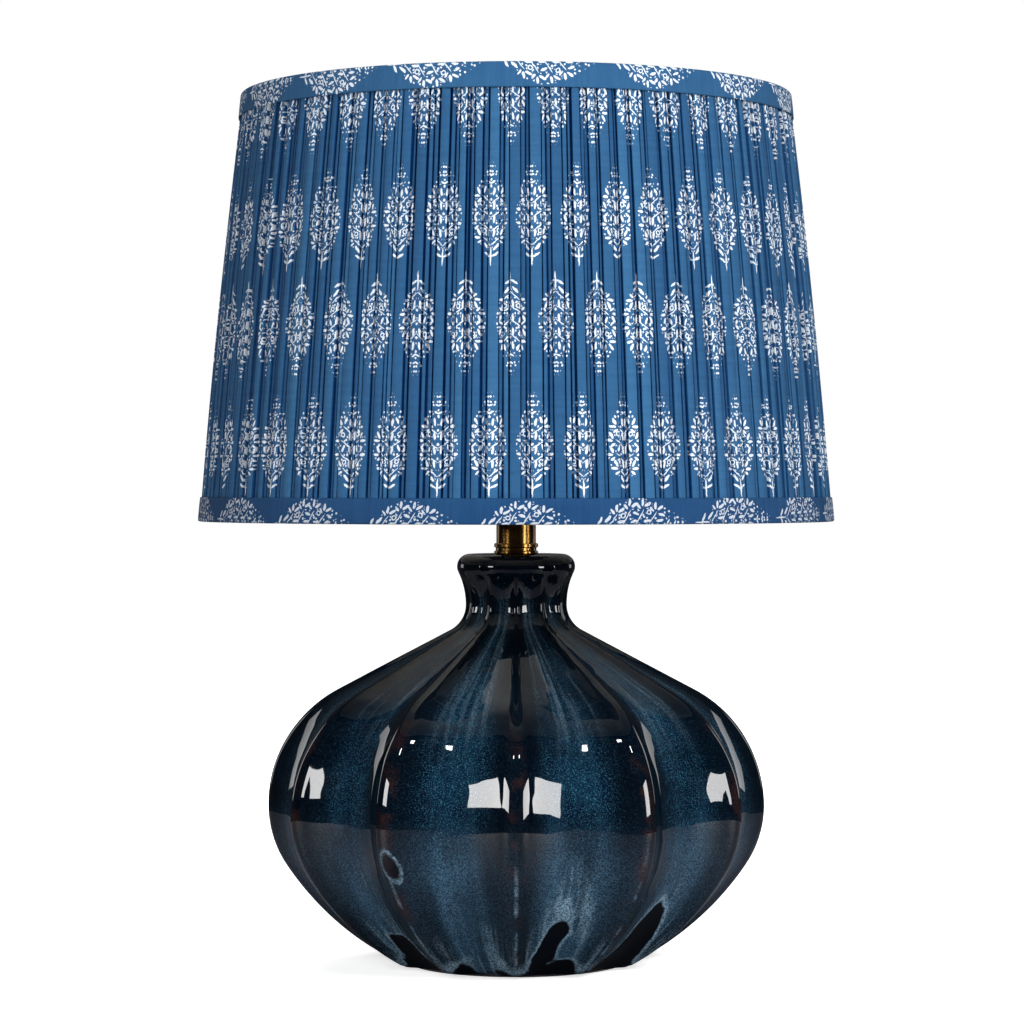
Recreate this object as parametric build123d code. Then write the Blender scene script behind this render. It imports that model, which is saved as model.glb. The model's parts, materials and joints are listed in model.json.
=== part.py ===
"""Ceramic table lamp: a ribbed, glazed body with a brass neck, a socket and harp, and a gathered cloth shade.

Millimetres, +Z up.  The origin is on the table, under the middle of the felt foot, and the front faces -Y.
"""
from build123d import *
from math import acos, atan, atan2, cos, degrees, hypot, pi, radians, sin
import os

# Fits and clearances
THREAD_GAP = 0.1            # radial room between a thread and its mate, drawn plain
SLIDE_GAP = 0.25            # radial room between a sliding sleeve and its rod
CLOTH_GAP = 0.3             # room between cloth, wire and lining
SEAT_GAP = 0.2              # room between a loose piece and the face that it rests on

# Glazed body: the line of a rib, from the foot to the lip
BODY_HEIGHT = 228.5         # top of the lip above the table
FOOT_RADIUS = 71.0
BELLY_RADIUS = 139.4
BELLY_HEIGHT_SHARE = 0.383  # levels and rounds of the rib line, as shares of the body's height
LOWER_BELLY_SHARE = 0.2626
UPPER_BELLY_SHARE = 0.3217
WAIST_HEIGHT_SHARE = 0.8759
LOWER_BELLY_TURN = 34.0     # degrees that the round under the belly turns through
NECK_RADIUS = 28.4
NECK_ROUND = 16.2
LIP_RADIUS = 33.2
LIP_ROUND = 7.0
BODY_WALL = 6.5
DECK_THICKNESS = 10.0       # closed top of the neck
NECK_BORE_RADIUS = 19.0
FOOT_OPENING_RADIUS = 50.0
RIB_COUNT = 12
FLUTE_DEPTH = 12.7          # from a rib's crest to the bottom of the flute, at the belly
RIB_ROUND = 9.6             # radius of a rib's crest at the belly
FOOT_SECTIONS = 5           # levels at which each round of the rib line is drawn
LOWER_BELLY_SECTIONS = 3
UPPER_BELLY_SECTIONS = 6
NECK_SECTIONS = 5
LIP_SECTIONS = 3
CUT_REACH = 20.0            # length of a cutter through the wall

# Felt under the foot, and the bushing where the cord enters
FELT_THICKNESS = 1.5
FELT_INSET = 2.0
CORD_BORE_RADIUS = 3.5
BUSHING_RADIUS = 4.6
BUSHING_FLANGE_RADIUS = 6.5
BUSHING_FLANGE_THICKNESS = 2.0
BUSHING_SEAT_DEPTH = 1.0    # flat ground into the glaze for the flange
BUSHING_HEIGHT_SHARE = 0.45  # place along the round between foot and belly, 0 to 1

# Threaded nipple and what it clamps
NIPPLE_RADIUS = 5.0
NIPPLE_BORE_RADIUS = 3.6
NIPPLE_TAIL = 4.0           # length that shows below the nut
WASHER_RADIUS = 16.0
RUBBER_WASHER_THICKNESS = 2.0
STEEL_WASHER_THICKNESS = 2.0
NUT_ACROSS_FLATS = 17.0
NUT_HEIGHT = 6.0
RING_RADIUS = 12.35
RING_HEIGHT = 6.0
RING_GROOVE_DEPTH = 0.9
TUBE_RADIUS = 11.1
TUBE_WALL = 1.0
TUBE_LENGTH = 25.0
SPIGOT_HEIGHT = 2.0         # step on ring and cap that centres the tube
NECK_CAP_HEIGHT = 3.0

# Harp and its saddle
SADDLE_THICKNESS = 2.0
SADDLE_WIDTH = 12.0
SADDLE_HALF_SPAN = 34.0
SADDLE_LEG_HEIGHT = 11.5
SADDLE_SHOULDER_RADIUS = 4.6
SADDLE_SHOULDER_HEIGHT = 1.5
HARP_PEG_RADIUS = 2.5
HARP_PEG_HEIGHT = 8.0
HARP_HEIGHT = 190.5         # saddle seat to shade seat
HARP_WIRE_RADIUS = 2.0
HARP_HALF_WIDTH = 55.0
HARP_FOOT_LENGTH = 10.0
HARP_STRAIGHT = 36.0        # upright run of the wire above the peg, up to the first bend's corner
HARP_FLARE_RISE = 32.0
HARP_BEND_RADIUS = 30.0
SLEEVE_LENGTH = 17.0
SLEEVE_WALL = 1.45
STUD_RADIUS = 3.1
STUD_LENGTH = 14.5
STUD_BLOCK_RADIUS = 6.0
STUD_BLOCK_HEIGHT = 9.0
STUD_FLANGE_RADIUS = 9.0
STUD_FLANGE_THICKNESS = 1.5

# Socket and switch
CAP_HUB_RADIUS = 8.0
CAP_HUB_HEIGHT = 5.5
CAP_NECK_HEIGHT = 3.5
CAP_RADIUS = 17.6
CAP_BOWL_HEIGHT = 13.0
CAP_RIM_HEIGHT = 6.0
CAP_WALL = 1.0
SET_SCREW_RADIUS = 1.5
SHELL_LENGTH = 40.5
SHELL_WALL = 0.8
LINER_WALL = 0.6
INSULATOR_RADIUS = 13.2
INSULATOR_HEIGHT = 26.0
SCREW_SHELL_RADIUS = 13.3   # smallest inner radius
SCREW_SHELL_WALL = 0.55
SCREW_SHELL_HEIGHT = 18.0
THREAD_DEPTH = 0.4
THREAD_PITCH = 3.63
CONTACT_RADIUS = 4.0
CONTACT_HEIGHT = 3.0
CONTACT_TIP_RADIUS = 2.4
TERMINAL_HEAD_RADIUS = 2.8
TERMINAL_HEAD_HEIGHT = 1.6
TERMINAL_SHANK_RADIUS = 1.4
TERMINAL_SHANK_LENGTH = 5.0
TERMINAL_SLOT_WIDTH = 0.8
TERMINAL_RISE = 9.0         # screw axis above the insulator's foot
SWITCH_RISE = 15.5          # knob axis above the insulator's foot
STEM_RADIUS = 2.5
STEM_DEPTH = 4.5            # how far the stem reaches into the insulator
KNOB_RADIUS = 6.5
KNOB_LENGTH = 13.0
KNOB_STANDOFF = 2.5
KNOB_FLUTES = 12
KNOB_FLUTE_RADIUS = 0.9

# Lamp bulb
BULB_TIP_HEIGHT = 2.0
BULB_TIP_RADIUS = 4.0
BULB_BUTTON_HEIGHT = 3.0
BULB_CAP_HEIGHT = 18.0
BULB_CAP_GAP = 0.3
BULB_HOUSING_HEIGHT = 22.0
BULB_NECK_RADIUS = 13.6
BULB_SHOULDER_RADIUS = 26.5
BULB_RADIUS = 30.0
BULB_GLOBE_HEIGHT = 60.0
BULB_GLASS = 1.2
LED_PLATE_THICKNESS = 1.5

# Shade
SHADE_LIFT = 18.5           # lower edge of the shade above the lip
SHADE_HEIGHT = 238.0
SHADE_BOTTOM_RADIUS = 178.2  # outside of the trim, at its lower edge
SHADE_TAPER = 23.9           # how much smaller the radius is at the upper edge
TRIM_HEIGHT = 13.5
TRIM_WALL = 0.6
PLEAT_COUNT = 120
PLEAT_DEPTH = 2.4
COVER_BACK = 0.8            # cloth left behind the bottom of a pleat
STRUT_RADIUS = 1.2
STRUT_COUNT = 6
RING_WIRE_RADIUS = 2.0
LINING_WALL = 0.8
SPIDER_ARM_RADIUS = 2.0
SPIDER_ARM_ANGLES = (90, 210, 330)
HUB_RADIUS = 14.0
HUB_THICKNESS = 2.5

# Finial
BUSH_FLANGE_RADIUS = 7.5
BUSH_FLANGE_HEIGHT = 2.0
BUSH_RADIUS = 5.0
BUSH_HEIGHT = 8.0
FINIAL_NECK_RADIUS = 7.0
FINIAL_NECK_HEIGHT = 6.0
FINIAL_WAIST_RADIUS = 5.6
FINIAL_BALL_RADIUS = 9.5
FINIAL_BALL_RISE = 14.5     # ball's middle above the bush's flange

# Rib line that follows from the sizes above
BELLY_HEIGHT = BODY_HEIGHT * BELLY_HEIGHT_SHARE
LOWER_BELLY_ROUND = BODY_HEIGHT * LOWER_BELLY_SHARE
UPPER_BELLY_ROUND = BODY_HEIGHT * UPPER_BELLY_SHARE
WAIST_HEIGHT = BODY_HEIGHT * WAIST_HEIGHT_SHARE

# Heights that follow from the sizes above
DECK_UNDERSIDE = BODY_HEIGHT - DECK_THICKNESS
RUBBER_WASHER_Z = DECK_UNDERSIDE - RUBBER_WASHER_THICKNESS
STEEL_WASHER_Z = RUBBER_WASHER_Z - STEEL_WASHER_THICKNESS
NUT_Z = STEEL_WASHER_Z - NUT_HEIGHT
NIPPLE_Z = NUT_Z - NIPPLE_TAIL
TUBE_Z = BODY_HEIGHT + RING_HEIGHT
NECK_CAP_Z = TUBE_Z + TUBE_LENGTH
SADDLE_Z = NECK_CAP_Z + NECK_CAP_HEIGHT
SOCKET_Z = SADDLE_Z + SADDLE_THICKNESS
NIPPLE_TOP = SOCKET_Z + CAP_HUB_HEIGHT + 2 * SEAT_GAP
SLEEVE_Z = SADDLE_Z + SADDLE_LEG_HEIGHT
HARP_FOOT_Z = SLEEVE_Z + HARP_PEG_HEIGHT
HUB_Z = SOCKET_Z + HARP_HEIGHT
HARP_TOP_Z = HUB_Z - STUD_BLOCK_HEIGHT / 2
BUSH_Z = HUB_Z + HUB_THICKNESS + SEAT_GAP
SHADE_BOTTOM_Z = BODY_HEIGHT + SHADE_LIFT
SHADE_TOP_Z = SHADE_BOTTOM_Z + SHADE_HEIGHT
SHADE_TOP_RADIUS = SHADE_BOTTOM_RADIUS - SHADE_TAPER

# Socket radii, from the cap inwards, and heights, from the cap upwards
CAP_INNER_RADIUS = CAP_RADIUS - CAP_WALL
CAP_LEDGE_Z = SOCKET_Z + CAP_NECK_HEIGHT + CAP_BOWL_HEIGHT
CAP_RIM_Z = CAP_LEDGE_Z + CAP_RIM_HEIGHT
SHELL_RADIUS = CAP_INNER_RADIUS - THREAD_GAP
SHELL_INNER_RADIUS = SHELL_RADIUS - SHELL_WALL
LINER_RADIUS = SHELL_INNER_RADIUS - SEAT_GAP
LINER_INNER_RADIUS = LINER_RADIUS - LINER_WALL
CAP_BOWL_SLOPE = CAP_BOWL_HEIGHT / (CAP_RADIUS - CAP_HUB_RADIUS)
INSULATOR_Z = CAP_LEDGE_Z - (CAP_INNER_RADIUS - INSULATOR_RADIUS) * CAP_BOWL_SLOPE + SEAT_GAP
INSULATOR_TOP = INSULATOR_Z + INSULATOR_HEIGHT
SWITCH_Z = INSULATOR_Z + SWITCH_RISE
TERMINAL_Z = INSULATOR_Z + TERMINAL_RISE
KNOB_Y = -(SHELL_RADIUS + KNOB_STANDOFF)
BULB_Z = INSULATOR_TOP + CONTACT_HEIGHT + SEAT_GAP
BULB_CAP_Z = BULB_Z + BULB_TIP_HEIGHT + BULB_BUTTON_HEIGHT
BULB_CAP_RADIUS = SCREW_SHELL_RADIUS - BULB_CAP_GAP
BULB_HOUSING_Z = BULB_CAP_Z + BULB_CAP_HEIGHT
BULB_GLOBE_Z = BULB_HOUSING_Z + BULB_HOUSING_HEIGHT

# Shade layers, as distances inwards from the outside of the trims
CREST_INSET = TRIM_WALL + CLOTH_GAP
COVER_BACK_INSET = CREST_INSET + PLEAT_DEPTH + COVER_BACK
WIRE_INSET = COVER_BACK_INSET + CLOTH_GAP + STRUT_RADIUS
LINING_INSET = WIRE_INSET + STRUT_RADIUS + CLOTH_GAP
LINING_INNER_INSET = LINING_INSET + LINING_WALL
TRIM_CHANNEL_INSET = LINING_INNER_INSET + CLOTH_GAP
TRIM_INNER_INSET = TRIM_CHANNEL_INSET + TRIM_WALL
RING_RISE = TRIM_WALL + CLOTH_GAP + RING_WIRE_RADIUS
BOTTOM_RING_Z = SHADE_BOTTOM_Z + RING_RISE
TOP_RING_Z = SHADE_TOP_Z - RING_RISE
CLOTH_BOTTOM_Z = BOTTOM_RING_Z + RING_WIRE_RADIUS + CLOTH_GAP
CLOTH_TOP_Z = TOP_RING_Z - RING_WIRE_RADIUS - CLOTH_GAP

PARTS_FOLDER = "parts"


def turned(*corners):
    """Solid of revolution about Z through (radius, height) corners joined by straight lines."""
    outline = Polyline([(radius, 0, height) for radius, height in corners], close=True)
    return revolve(make_face(outline), Axis.Z)


def ring_of(radius, bore, z, height):
    """Plain round washer or sleeve, standing on height z."""
    return turned((bore, z), (radius, z), (radius, z + height), (bore, z + height))


def rod(start, end, radius):
    """Round bar between two points."""
    line = Line(start, end)
    return sweep(Plane(origin=start, z_dir=line % 0) * Circle(radius), path=line)


def polar(radius, angle, z):
    """Point at a radius and an angle in degrees about Z."""
    return (radius * cos(radians(angle)), radius * sin(radians(angle)), z)


def flute_depth(rib_radius):
    """Depth of the flutes at a level, which shrinks with the radius of the ribs."""
    return FLUTE_DEPTH * rib_radius / BELLY_RADIUS


def rib_round(rib_radius):
    """Radius of the ribs' crests at a level, which shrinks with the radius of the ribs."""
    return RIB_ROUND * rib_radius / BELLY_RADIUS


def fluted_ring(rib_radius, z, fade=1.0):
    """Closed outline at height z: rib crests as convex arcs, joined smoothly by the flutes' hollow arcs.

    fade runs from 1, full flutes, to 0, a plain circle.
    """
    depth = flute_depth(rib_radius)
    crest_round = rib_round(rib_radius)
    half = pi / RIB_COUNT
    crest_centre = rib_radius - crest_round
    reach = rib_radius - depth - crest_centre * cos(half)
    side = crest_centre * sin(half)
    hollow = (crest_round**2 - reach**2 - side**2) / (2 * (reach - crest_round))
    away = (rib_radius - depth + hollow - crest_centre * cos(half), -side)
    step = crest_round / hypot(*away)
    join = (crest_centre * cos(half) + step * away[0], side + step * away[1])
    join_radius = rib_radius - fade * (rib_radius - hypot(*join))
    join_turn = degrees(atan2(join[1], join[0]))
    flute_radius = rib_radius - fade * depth
    pitch = 360 / RIB_COUNT
    edges = []
    for index in range(RIB_COUNT):
        rib = -90 + index * pitch
        flute = rib + pitch / 2
        rib_start = polar(join_radius, rib - pitch / 2 + join_turn, z)
        rib_end = polar(join_radius, flute - join_turn, z)
        flute_end = polar(join_radius, flute + join_turn, z)
        edges.append(Edge.make_three_point_arc(rib_start, polar(rib_radius, rib, z), rib_end))
        edges.append(Edge.make_three_point_arc(rib_end, polar(flute_radius, flute, z), flute_end))
    return Wire(edges)


def round_point(centre, radius, angle):
    """Point on a round at an angle in degrees, as ((radius, height), outward normal)."""
    normal = (cos(radians(angle)), sin(radians(angle)))
    return (centre[0] + radius * normal[0], centre[1] + radius * normal[1]), normal


def round_points(centre, radius, first, last, count):
    """Evenly spaced points on a round from angle first to last, in degrees."""
    step = (last - first) / (count - 1)
    return [round_point(centre, radius, first + step * index) for index in range(count)]


def shoulder_turn():
    """Slope of the straight shoulder, in degrees from upright: the line that touches belly round and neck round."""
    across = NECK_RADIUS + NECK_ROUND - (BELLY_RADIUS - UPPER_BELLY_ROUND)
    up = WAIST_HEIGHT - BELLY_HEIGHT
    lean = acos((UPPER_BELLY_ROUND + NECK_ROUND) / hypot(across, up))
    return degrees(atan2(up, across) - lean)


def belly_points():
    """Lower and upper rounds of the belly, which share an upright tangent at the belly's widest level."""
    lower = round_points((BELLY_RADIUS - LOWER_BELLY_ROUND, BELLY_HEIGHT), LOWER_BELLY_ROUND,
                         -LOWER_BELLY_TURN, 0, LOWER_BELLY_SECTIONS)
    upper = round_points((BELLY_RADIUS - UPPER_BELLY_ROUND, BELLY_HEIGHT), UPPER_BELLY_ROUND,
                         0, shoulder_turn(), UPPER_BELLY_SECTIONS)
    return lower + upper[1:]


def foot_round(join):
    """Large round from the foot up to the join under the belly, which it meets smoothly.

    Returns its centre, its radius, and its first and last angle in degrees.
    """
    chord = (join[0] - FOOT_RADIUS, join[1] - FELT_THICKNESS)
    chord_turn = degrees(atan2(chord[0], chord[1]))
    half_turn = chord_turn - LOWER_BELLY_TURN
    radius = hypot(*chord) / (2 * sin(radians(half_turn)))
    centre = (join[0] - radius * cos(radians(LOWER_BELLY_TURN)),
              join[1] + radius * sin(radians(LOWER_BELLY_TURN)))
    return centre, radius, -LOWER_BELLY_TURN - 2 * half_turn, -LOWER_BELLY_TURN


def neck_points(shoulder):
    """Straight shoulder, then the hollow round that turns up into the waist of the neck."""
    turn = shoulder_turn()
    centre = (NECK_RADIUS + NECK_ROUND, WAIST_HEIGHT)
    hollow = round_points(centre, NECK_ROUND, 180 + turn, 180, NECK_SECTIONS)
    start = hollow[0][0]
    middle = ((shoulder[0] + start[0]) / 2, (shoulder[1] + start[1]) / 2)
    normal = (cos(radians(turn)), sin(radians(turn)))
    return [(middle, normal)] + [(point, (-n[0], -n[1])) for point, n in hollow]


def lip_rise():
    """Radius and turn of the hollow that leads from the waist into the roll of the lip."""
    out = LIP_RADIUS - NECK_RADIUS
    up = BODY_HEIGHT - LIP_ROUND - WAIST_HEIGHT
    turn = 2 * atan(out / up)
    return up / sin(turn) - LIP_ROUND, turn


def rib_line():
    """Rib line from the foot to the waist of the neck, as ((radius, height), outward normal)."""
    belly = belly_points()
    foot = round_points(*foot_round(belly[0][0]), FOOT_SECTIONS)
    return foot[:-1] + belly + neck_points(belly[-1][0])


def bushing_plane():
    """Plane on the flange seat at the back, facing out of the middle of a flute."""
    centre, radius, first, last = foot_round(belly_points()[0][0])
    point, normal = round_point(centre, radius, first + (last - first) * BUSHING_HEIGHT_SHARE)
    angle = 90 + 180 / RIB_COUNT
    facing = Vector(*polar(normal[0], angle, normal[1]))
    mouth = Vector(*polar(point[0] - flute_depth(point[0]), angle, point[1]))
    return Plane(origin=mouth - facing * BUSHING_SEAT_DEPTH, z_dir=facing)


def make_ceramic_body():
    """Hollow, ribbed body: open under the foot, closed at the top but for the nipple's hole."""
    line = rib_line()
    hollow, turn = lip_rise()
    outer = [fluted_ring(point[0], point[1]) for point, normal in line]
    for step in range(1, LIP_SECTIONS + 1):
        angle = turn * step / LIP_SECTIONS
        radius = NECK_RADIUS + hollow * (1 - cos(angle))
        fade = 1 - (step / LIP_SECTIONS) ** 2
        outer.append(fluted_ring(radius, WAIST_HEIGHT + hollow * sin(angle), fade))
    body = Solid.make_loft(outer)

    joint = (NECK_RADIUS + hollow * (1 - cos(turn)), WAIST_HEIGHT + hollow * sin(turn))
    roll_start = (LIP_RADIUS - LIP_ROUND, BODY_HEIGHT)
    roll_middle = (LIP_RADIUS - LIP_ROUND + LIP_ROUND * cos(pi / 4),
                   BODY_HEIGHT - LIP_ROUND + LIP_ROUND * sin(pi / 4))
    lip_edge = Wire([
        Edge.make_line((0, 0, joint[1]), (joint[0], 0, joint[1])),
        Edge.make_three_point_arc((joint[0], 0, joint[1]), (roll_middle[0], 0, roll_middle[1]),
                                  (roll_start[0], 0, roll_start[1])),
        Edge.make_line((roll_start[0], 0, roll_start[1]), (0, 0, BODY_HEIGHT)),
        Edge.make_line((0, 0, BODY_HEIGHT), (0, 0, joint[1])),
    ])
    lip = revolve(Face(lip_edge), Axis.Z)

    inner = []
    for point, normal in line:
        radius = point[0] - BODY_WALL * normal[0]
        inner.append(fluted_ring(radius, point[1] - BODY_WALL * normal[1]))
    cavity = Solid.make_loft(inner)
    bore_z = WAIST_HEIGHT - BODY_WALL
    neck_bore = ring_of(NECK_BORE_RADIUS, 0, bore_z, DECK_UNDERSIDE - bore_z)
    deck_hole = ring_of(NIPPLE_RADIUS + SLIDE_GAP, 0, DECK_UNDERSIDE, DECK_THICKNESS)
    foot_hole = ring_of(FOOT_OPENING_RADIUS, 0, FELT_THICKNESS, CUT_REACH)

    seat = bushing_plane()
    cord_hole = seat * Cylinder(BUSHING_RADIUS + THREAD_GAP, 2 * CUT_REACH)
    flange_seat = seat * Cylinder(BUSHING_FLANGE_RADIUS + SEAT_GAP, CUT_REACH,
                                  align=(Align.CENTER, Align.CENTER, Align.MIN))
    body = body + lip
    return body - cavity - neck_bore - deck_hole - foot_hole - cord_hole - flange_seat


def make_base_felt():
    """Felt disc glued under the foot, a little inside its edge."""
    return ring_of(FOOT_RADIUS - flute_depth(FOOT_RADIUS) - FELT_INSET, 0, 0, FELT_THICKNESS)


def make_cord_bushing():
    """Flanged sleeve that lines the hole where the cord enters."""
    sleeve_length = BODY_WALL + BUSHING_SEAT_DEPTH
    up = (Align.CENTER, Align.CENTER, Align.MIN)
    down = (Align.CENTER, Align.CENTER, Align.MAX)
    flange = Cylinder(BUSHING_FLANGE_RADIUS, BUSHING_FLANGE_THICKNESS, align=up)
    sleeve = Cylinder(BUSHING_RADIUS, sleeve_length, align=down)
    bore = Cylinder(CORD_BORE_RADIUS, 4 * sleeve_length)
    return bushing_plane() * (flange + sleeve - bore)


def make_nut():
    """Hexagon nut under the deck."""
    blank = Pos(0, 0, NUT_Z) * extrude(RegularPolygon(NUT_ACROSS_FLATS / 2, 6, major_radius=False), NUT_HEIGHT)
    bore = ring_of(NIPPLE_RADIUS + THREAD_GAP, 0, NUT_Z, NUT_HEIGHT)
    return blank - bore


def make_neck_ring():
    """Turned ring on the lip: two beads with a groove between, and a spigot inside the tube."""
    bore = NIPPLE_RADIUS + THREAD_GAP
    bead = RING_HEIGHT / 3
    edge = bead / 4
    groove = RING_RADIUS - RING_GROOVE_DEPTH
    spigot = TUBE_RADIUS - TUBE_WALL - THREAD_GAP
    z = BODY_HEIGHT
    return turned(
        (bore, z), (RING_RADIUS - edge, z), (RING_RADIUS, z + edge), (RING_RADIUS, z + bead - edge),
        (groove, z + bead), (groove, z + 2 * bead - edge), (RING_RADIUS, z + 2 * bead),
        (RING_RADIUS, z + RING_HEIGHT - edge), (RING_RADIUS - edge, z + RING_HEIGHT),
        (spigot, z + RING_HEIGHT), (spigot, TUBE_Z + SPIGOT_HEIGHT), (bore, TUBE_Z + SPIGOT_HEIGHT))


def make_neck_cap():
    """Turned cap on the tube, with a spigot down inside it."""
    bore = NIPPLE_RADIUS + THREAD_GAP
    edge = NECK_CAP_HEIGHT / 4
    spigot = TUBE_RADIUS - TUBE_WALL - THREAD_GAP
    z = NECK_CAP_Z
    return turned(
        (bore, z - SPIGOT_HEIGHT), (spigot, z - SPIGOT_HEIGHT), (spigot, z), (RING_RADIUS - edge, z),
        (RING_RADIUS, z + edge), (RING_RADIUS, z + NECK_CAP_HEIGHT - edge),
        (RING_RADIUS - edge, z + NECK_CAP_HEIGHT), (bore, z + NECK_CAP_HEIGHT))


def make_harp_saddle():
    """Bent strip under the socket: two upturned legs, each with a round shoulder and a peg."""
    foot = (Align.CENTER, Align.CENTER, Align.MIN)
    base_length = 2 * SADDLE_HALF_SPAN + SADDLE_THICKNESS
    strip = Pos(0, 0, SADDLE_Z) * Box(base_length, SADDLE_WIDTH, SADDLE_THICKNESS, align=foot)
    for side in (-1, 1):
        place = Pos(side * SADDLE_HALF_SPAN, 0, SADDLE_Z)
        leg = Box(SADDLE_THICKNESS, SADDLE_WIDTH, SADDLE_LEG_HEIGHT - SADDLE_SHOULDER_HEIGHT, align=foot)
        shoulder_z = SADDLE_LEG_HEIGHT - SADDLE_SHOULDER_HEIGHT
        shoulder = Pos(0, 0, shoulder_z) * Cylinder(SADDLE_SHOULDER_RADIUS, SADDLE_SHOULDER_HEIGHT, align=foot)
        peg = Pos(0, 0, SADDLE_LEG_HEIGHT) * Cylinder(HARP_PEG_RADIUS, HARP_PEG_HEIGHT, align=foot)
        strip = strip + place * leg + place * shoulder + place * peg
    return strip - ring_of(NIPPLE_RADIUS + THREAD_GAP, 0, SADDLE_Z, SADDLE_THICKNESS)


def make_harp():
    """Bent wire loop on the saddle's pegs: upright feet, flared sides and a half-round top."""
    arch_z = HARP_TOP_Z - HARP_HALF_WIDTH
    bend_z = HARP_FOOT_Z + HARP_STRAIGHT
    corners = [(SADDLE_HALF_SPAN, 0, HARP_FOOT_Z), (SADDLE_HALF_SPAN, 0, bend_z),
               (HARP_HALF_WIDTH, 0, bend_z + HARP_FLARE_RISE), (HARP_HALF_WIDTH, 0, arch_z)]
    side = FilletPolyline(corners, radius=HARP_BEND_RADIUS)
    quarter = HARP_HALF_WIDTH * cos(pi / 4)
    crown = ThreePointArc((HARP_HALF_WIDTH, 0, arch_z), (quarter, 0, arch_z + quarter), (0, 0, HARP_TOP_Z))
    half = sweep(Plane(origin=corners[0]) * Circle(HARP_WIRE_RADIUS), path=Wire(side.edges() + crown.edges()))
    foot = Pos(*corners[0]) * Cylinder(HARP_PEG_RADIUS, HARP_FOOT_LENGTH,
                                       align=(Align.CENTER, Align.CENTER, Align.MIN))
    half = half + foot
    return half + mirror(half, Plane.YZ)


def make_harp_sleeve(side):
    """Ferrule that locks one foot of the harp to the saddle, side -1 or 1."""
    bore = HARP_PEG_RADIUS + SLIDE_GAP
    return Pos(side * SADDLE_HALF_SPAN, 0, 0) * ring_of(bore + SLEEVE_WALL, bore, SLEEVE_Z, SLEEVE_LENGTH)


def make_harp_stud():
    """Swivel block on the crown of the harp, with a flange for the shade and a threaded stud."""
    block_z = HUB_Z - STUD_BLOCK_HEIGHT
    block = turned(
        (0, block_z), (STUD_BLOCK_RADIUS, block_z), (STUD_BLOCK_RADIUS, HUB_Z - STUD_FLANGE_THICKNESS),
        (STUD_FLANGE_RADIUS, HUB_Z - STUD_FLANGE_THICKNESS), (STUD_FLANGE_RADIUS, HUB_Z),
        (STUD_RADIUS, HUB_Z), (STUD_RADIUS, HUB_Z + STUD_LENGTH), (0, HUB_Z + STUD_LENGTH))
    arch = Pos(0, 0, HARP_TOP_Z - HARP_HALF_WIDTH) * Rot(90, 0, 0) * Torus(
        HARP_HALF_WIDTH, HARP_WIRE_RADIUS + THREAD_GAP)
    return block - arch


def make_socket_cap():
    """Turned bowl that screws on the nipple and holds the socket shell."""
    bore = NIPPLE_RADIUS + THREAD_GAP
    z = SOCKET_Z
    neck_z = z + CAP_NECK_HEIGHT
    inner_hub = CAP_HUB_RADIUS - CAP_WALL
    cap = turned(
        (bore, z), (CAP_HUB_RADIUS, z), (CAP_HUB_RADIUS, neck_z), (CAP_RADIUS, CAP_LEDGE_Z),
        (CAP_RADIUS, CAP_RIM_Z), (CAP_INNER_RADIUS, CAP_RIM_Z), (CAP_INNER_RADIUS, CAP_LEDGE_Z),
        (inner_hub, neck_z), (inner_hub, z + CAP_HUB_HEIGHT), (bore, z + CAP_HUB_HEIGHT))
    return cap - set_screw_blank(SET_SCREW_RADIUS + THREAD_GAP)


def set_screw_blank(radius):
    """Bar across the hub of the socket cap, where the set screw bears on the nipple."""
    z = SOCKET_Z + CAP_NECK_HEIGHT / 2
    return rod((0, NIPPLE_RADIUS + THREAD_GAP, z), (0, CAP_HUB_RADIUS + CAP_WALL, z), radius)


def stem_bar(radius, inner, outer):
    """Bar along the switch axis between two distances in front of the socket's middle."""
    return rod((0, -inner, SWITCH_Z), (0, -outer, SWITCH_Z), radius)


def make_socket_shell():
    """Brass tube of the socket, with a hole for the switch stem."""
    z = CAP_LEDGE_Z + THREAD_GAP
    shell = ring_of(SHELL_RADIUS, SHELL_INNER_RADIUS, z, SHELL_LENGTH)
    return shell - stem_bar(STEM_RADIUS + CLOTH_GAP, INSULATOR_RADIUS, CAP_RADIUS)


def make_socket_liner():
    """Fibre sleeve inside the shell."""
    z = CAP_LEDGE_Z + 2 * THREAD_GAP
    liner = ring_of(LINER_RADIUS, LINER_INNER_RADIUS, z, SHELL_LENGTH - CAP_WALL)
    return liner - stem_bar(STEM_RADIUS + CLOTH_GAP, INSULATOR_RADIUS - TERMINAL_HEAD_HEIGHT, CAP_RADIUS)


def terminal_places():
    """Place of each terminal screw's seat on the insulator, with its axis pointing out."""
    seat = INSULATOR_RADIUS - TERMINAL_HEAD_HEIGHT / 2
    return [Plane(origin=(side * seat, 0, TERMINAL_Z), z_dir=(side, 0, 0)) for side in (-1, 1)]


def make_socket_insulator():
    """Moulded core of the socket, with pockets for the terminal screws and a hole for the switch stem."""
    up = (Align.CENTER, Align.CENTER, Align.MIN)
    down = (Align.CENTER, Align.CENTER, Align.MAX)
    core = ring_of(INSULATOR_RADIUS, 0, INSULATOR_Z, INSULATOR_HEIGHT)
    core = core - stem_bar(STEM_RADIUS + THREAD_GAP, INSULATOR_RADIUS - STEM_DEPTH, CAP_RADIUS)
    for seat in terminal_places():
        core = core - seat * Cylinder(TERMINAL_HEAD_RADIUS + SEAT_GAP, CAP_RADIUS, align=up)
        core = core - seat * Cylinder(TERMINAL_SHANK_RADIUS + THREAD_GAP, TERMINAL_SHANK_LENGTH, align=down)
    return core


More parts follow.
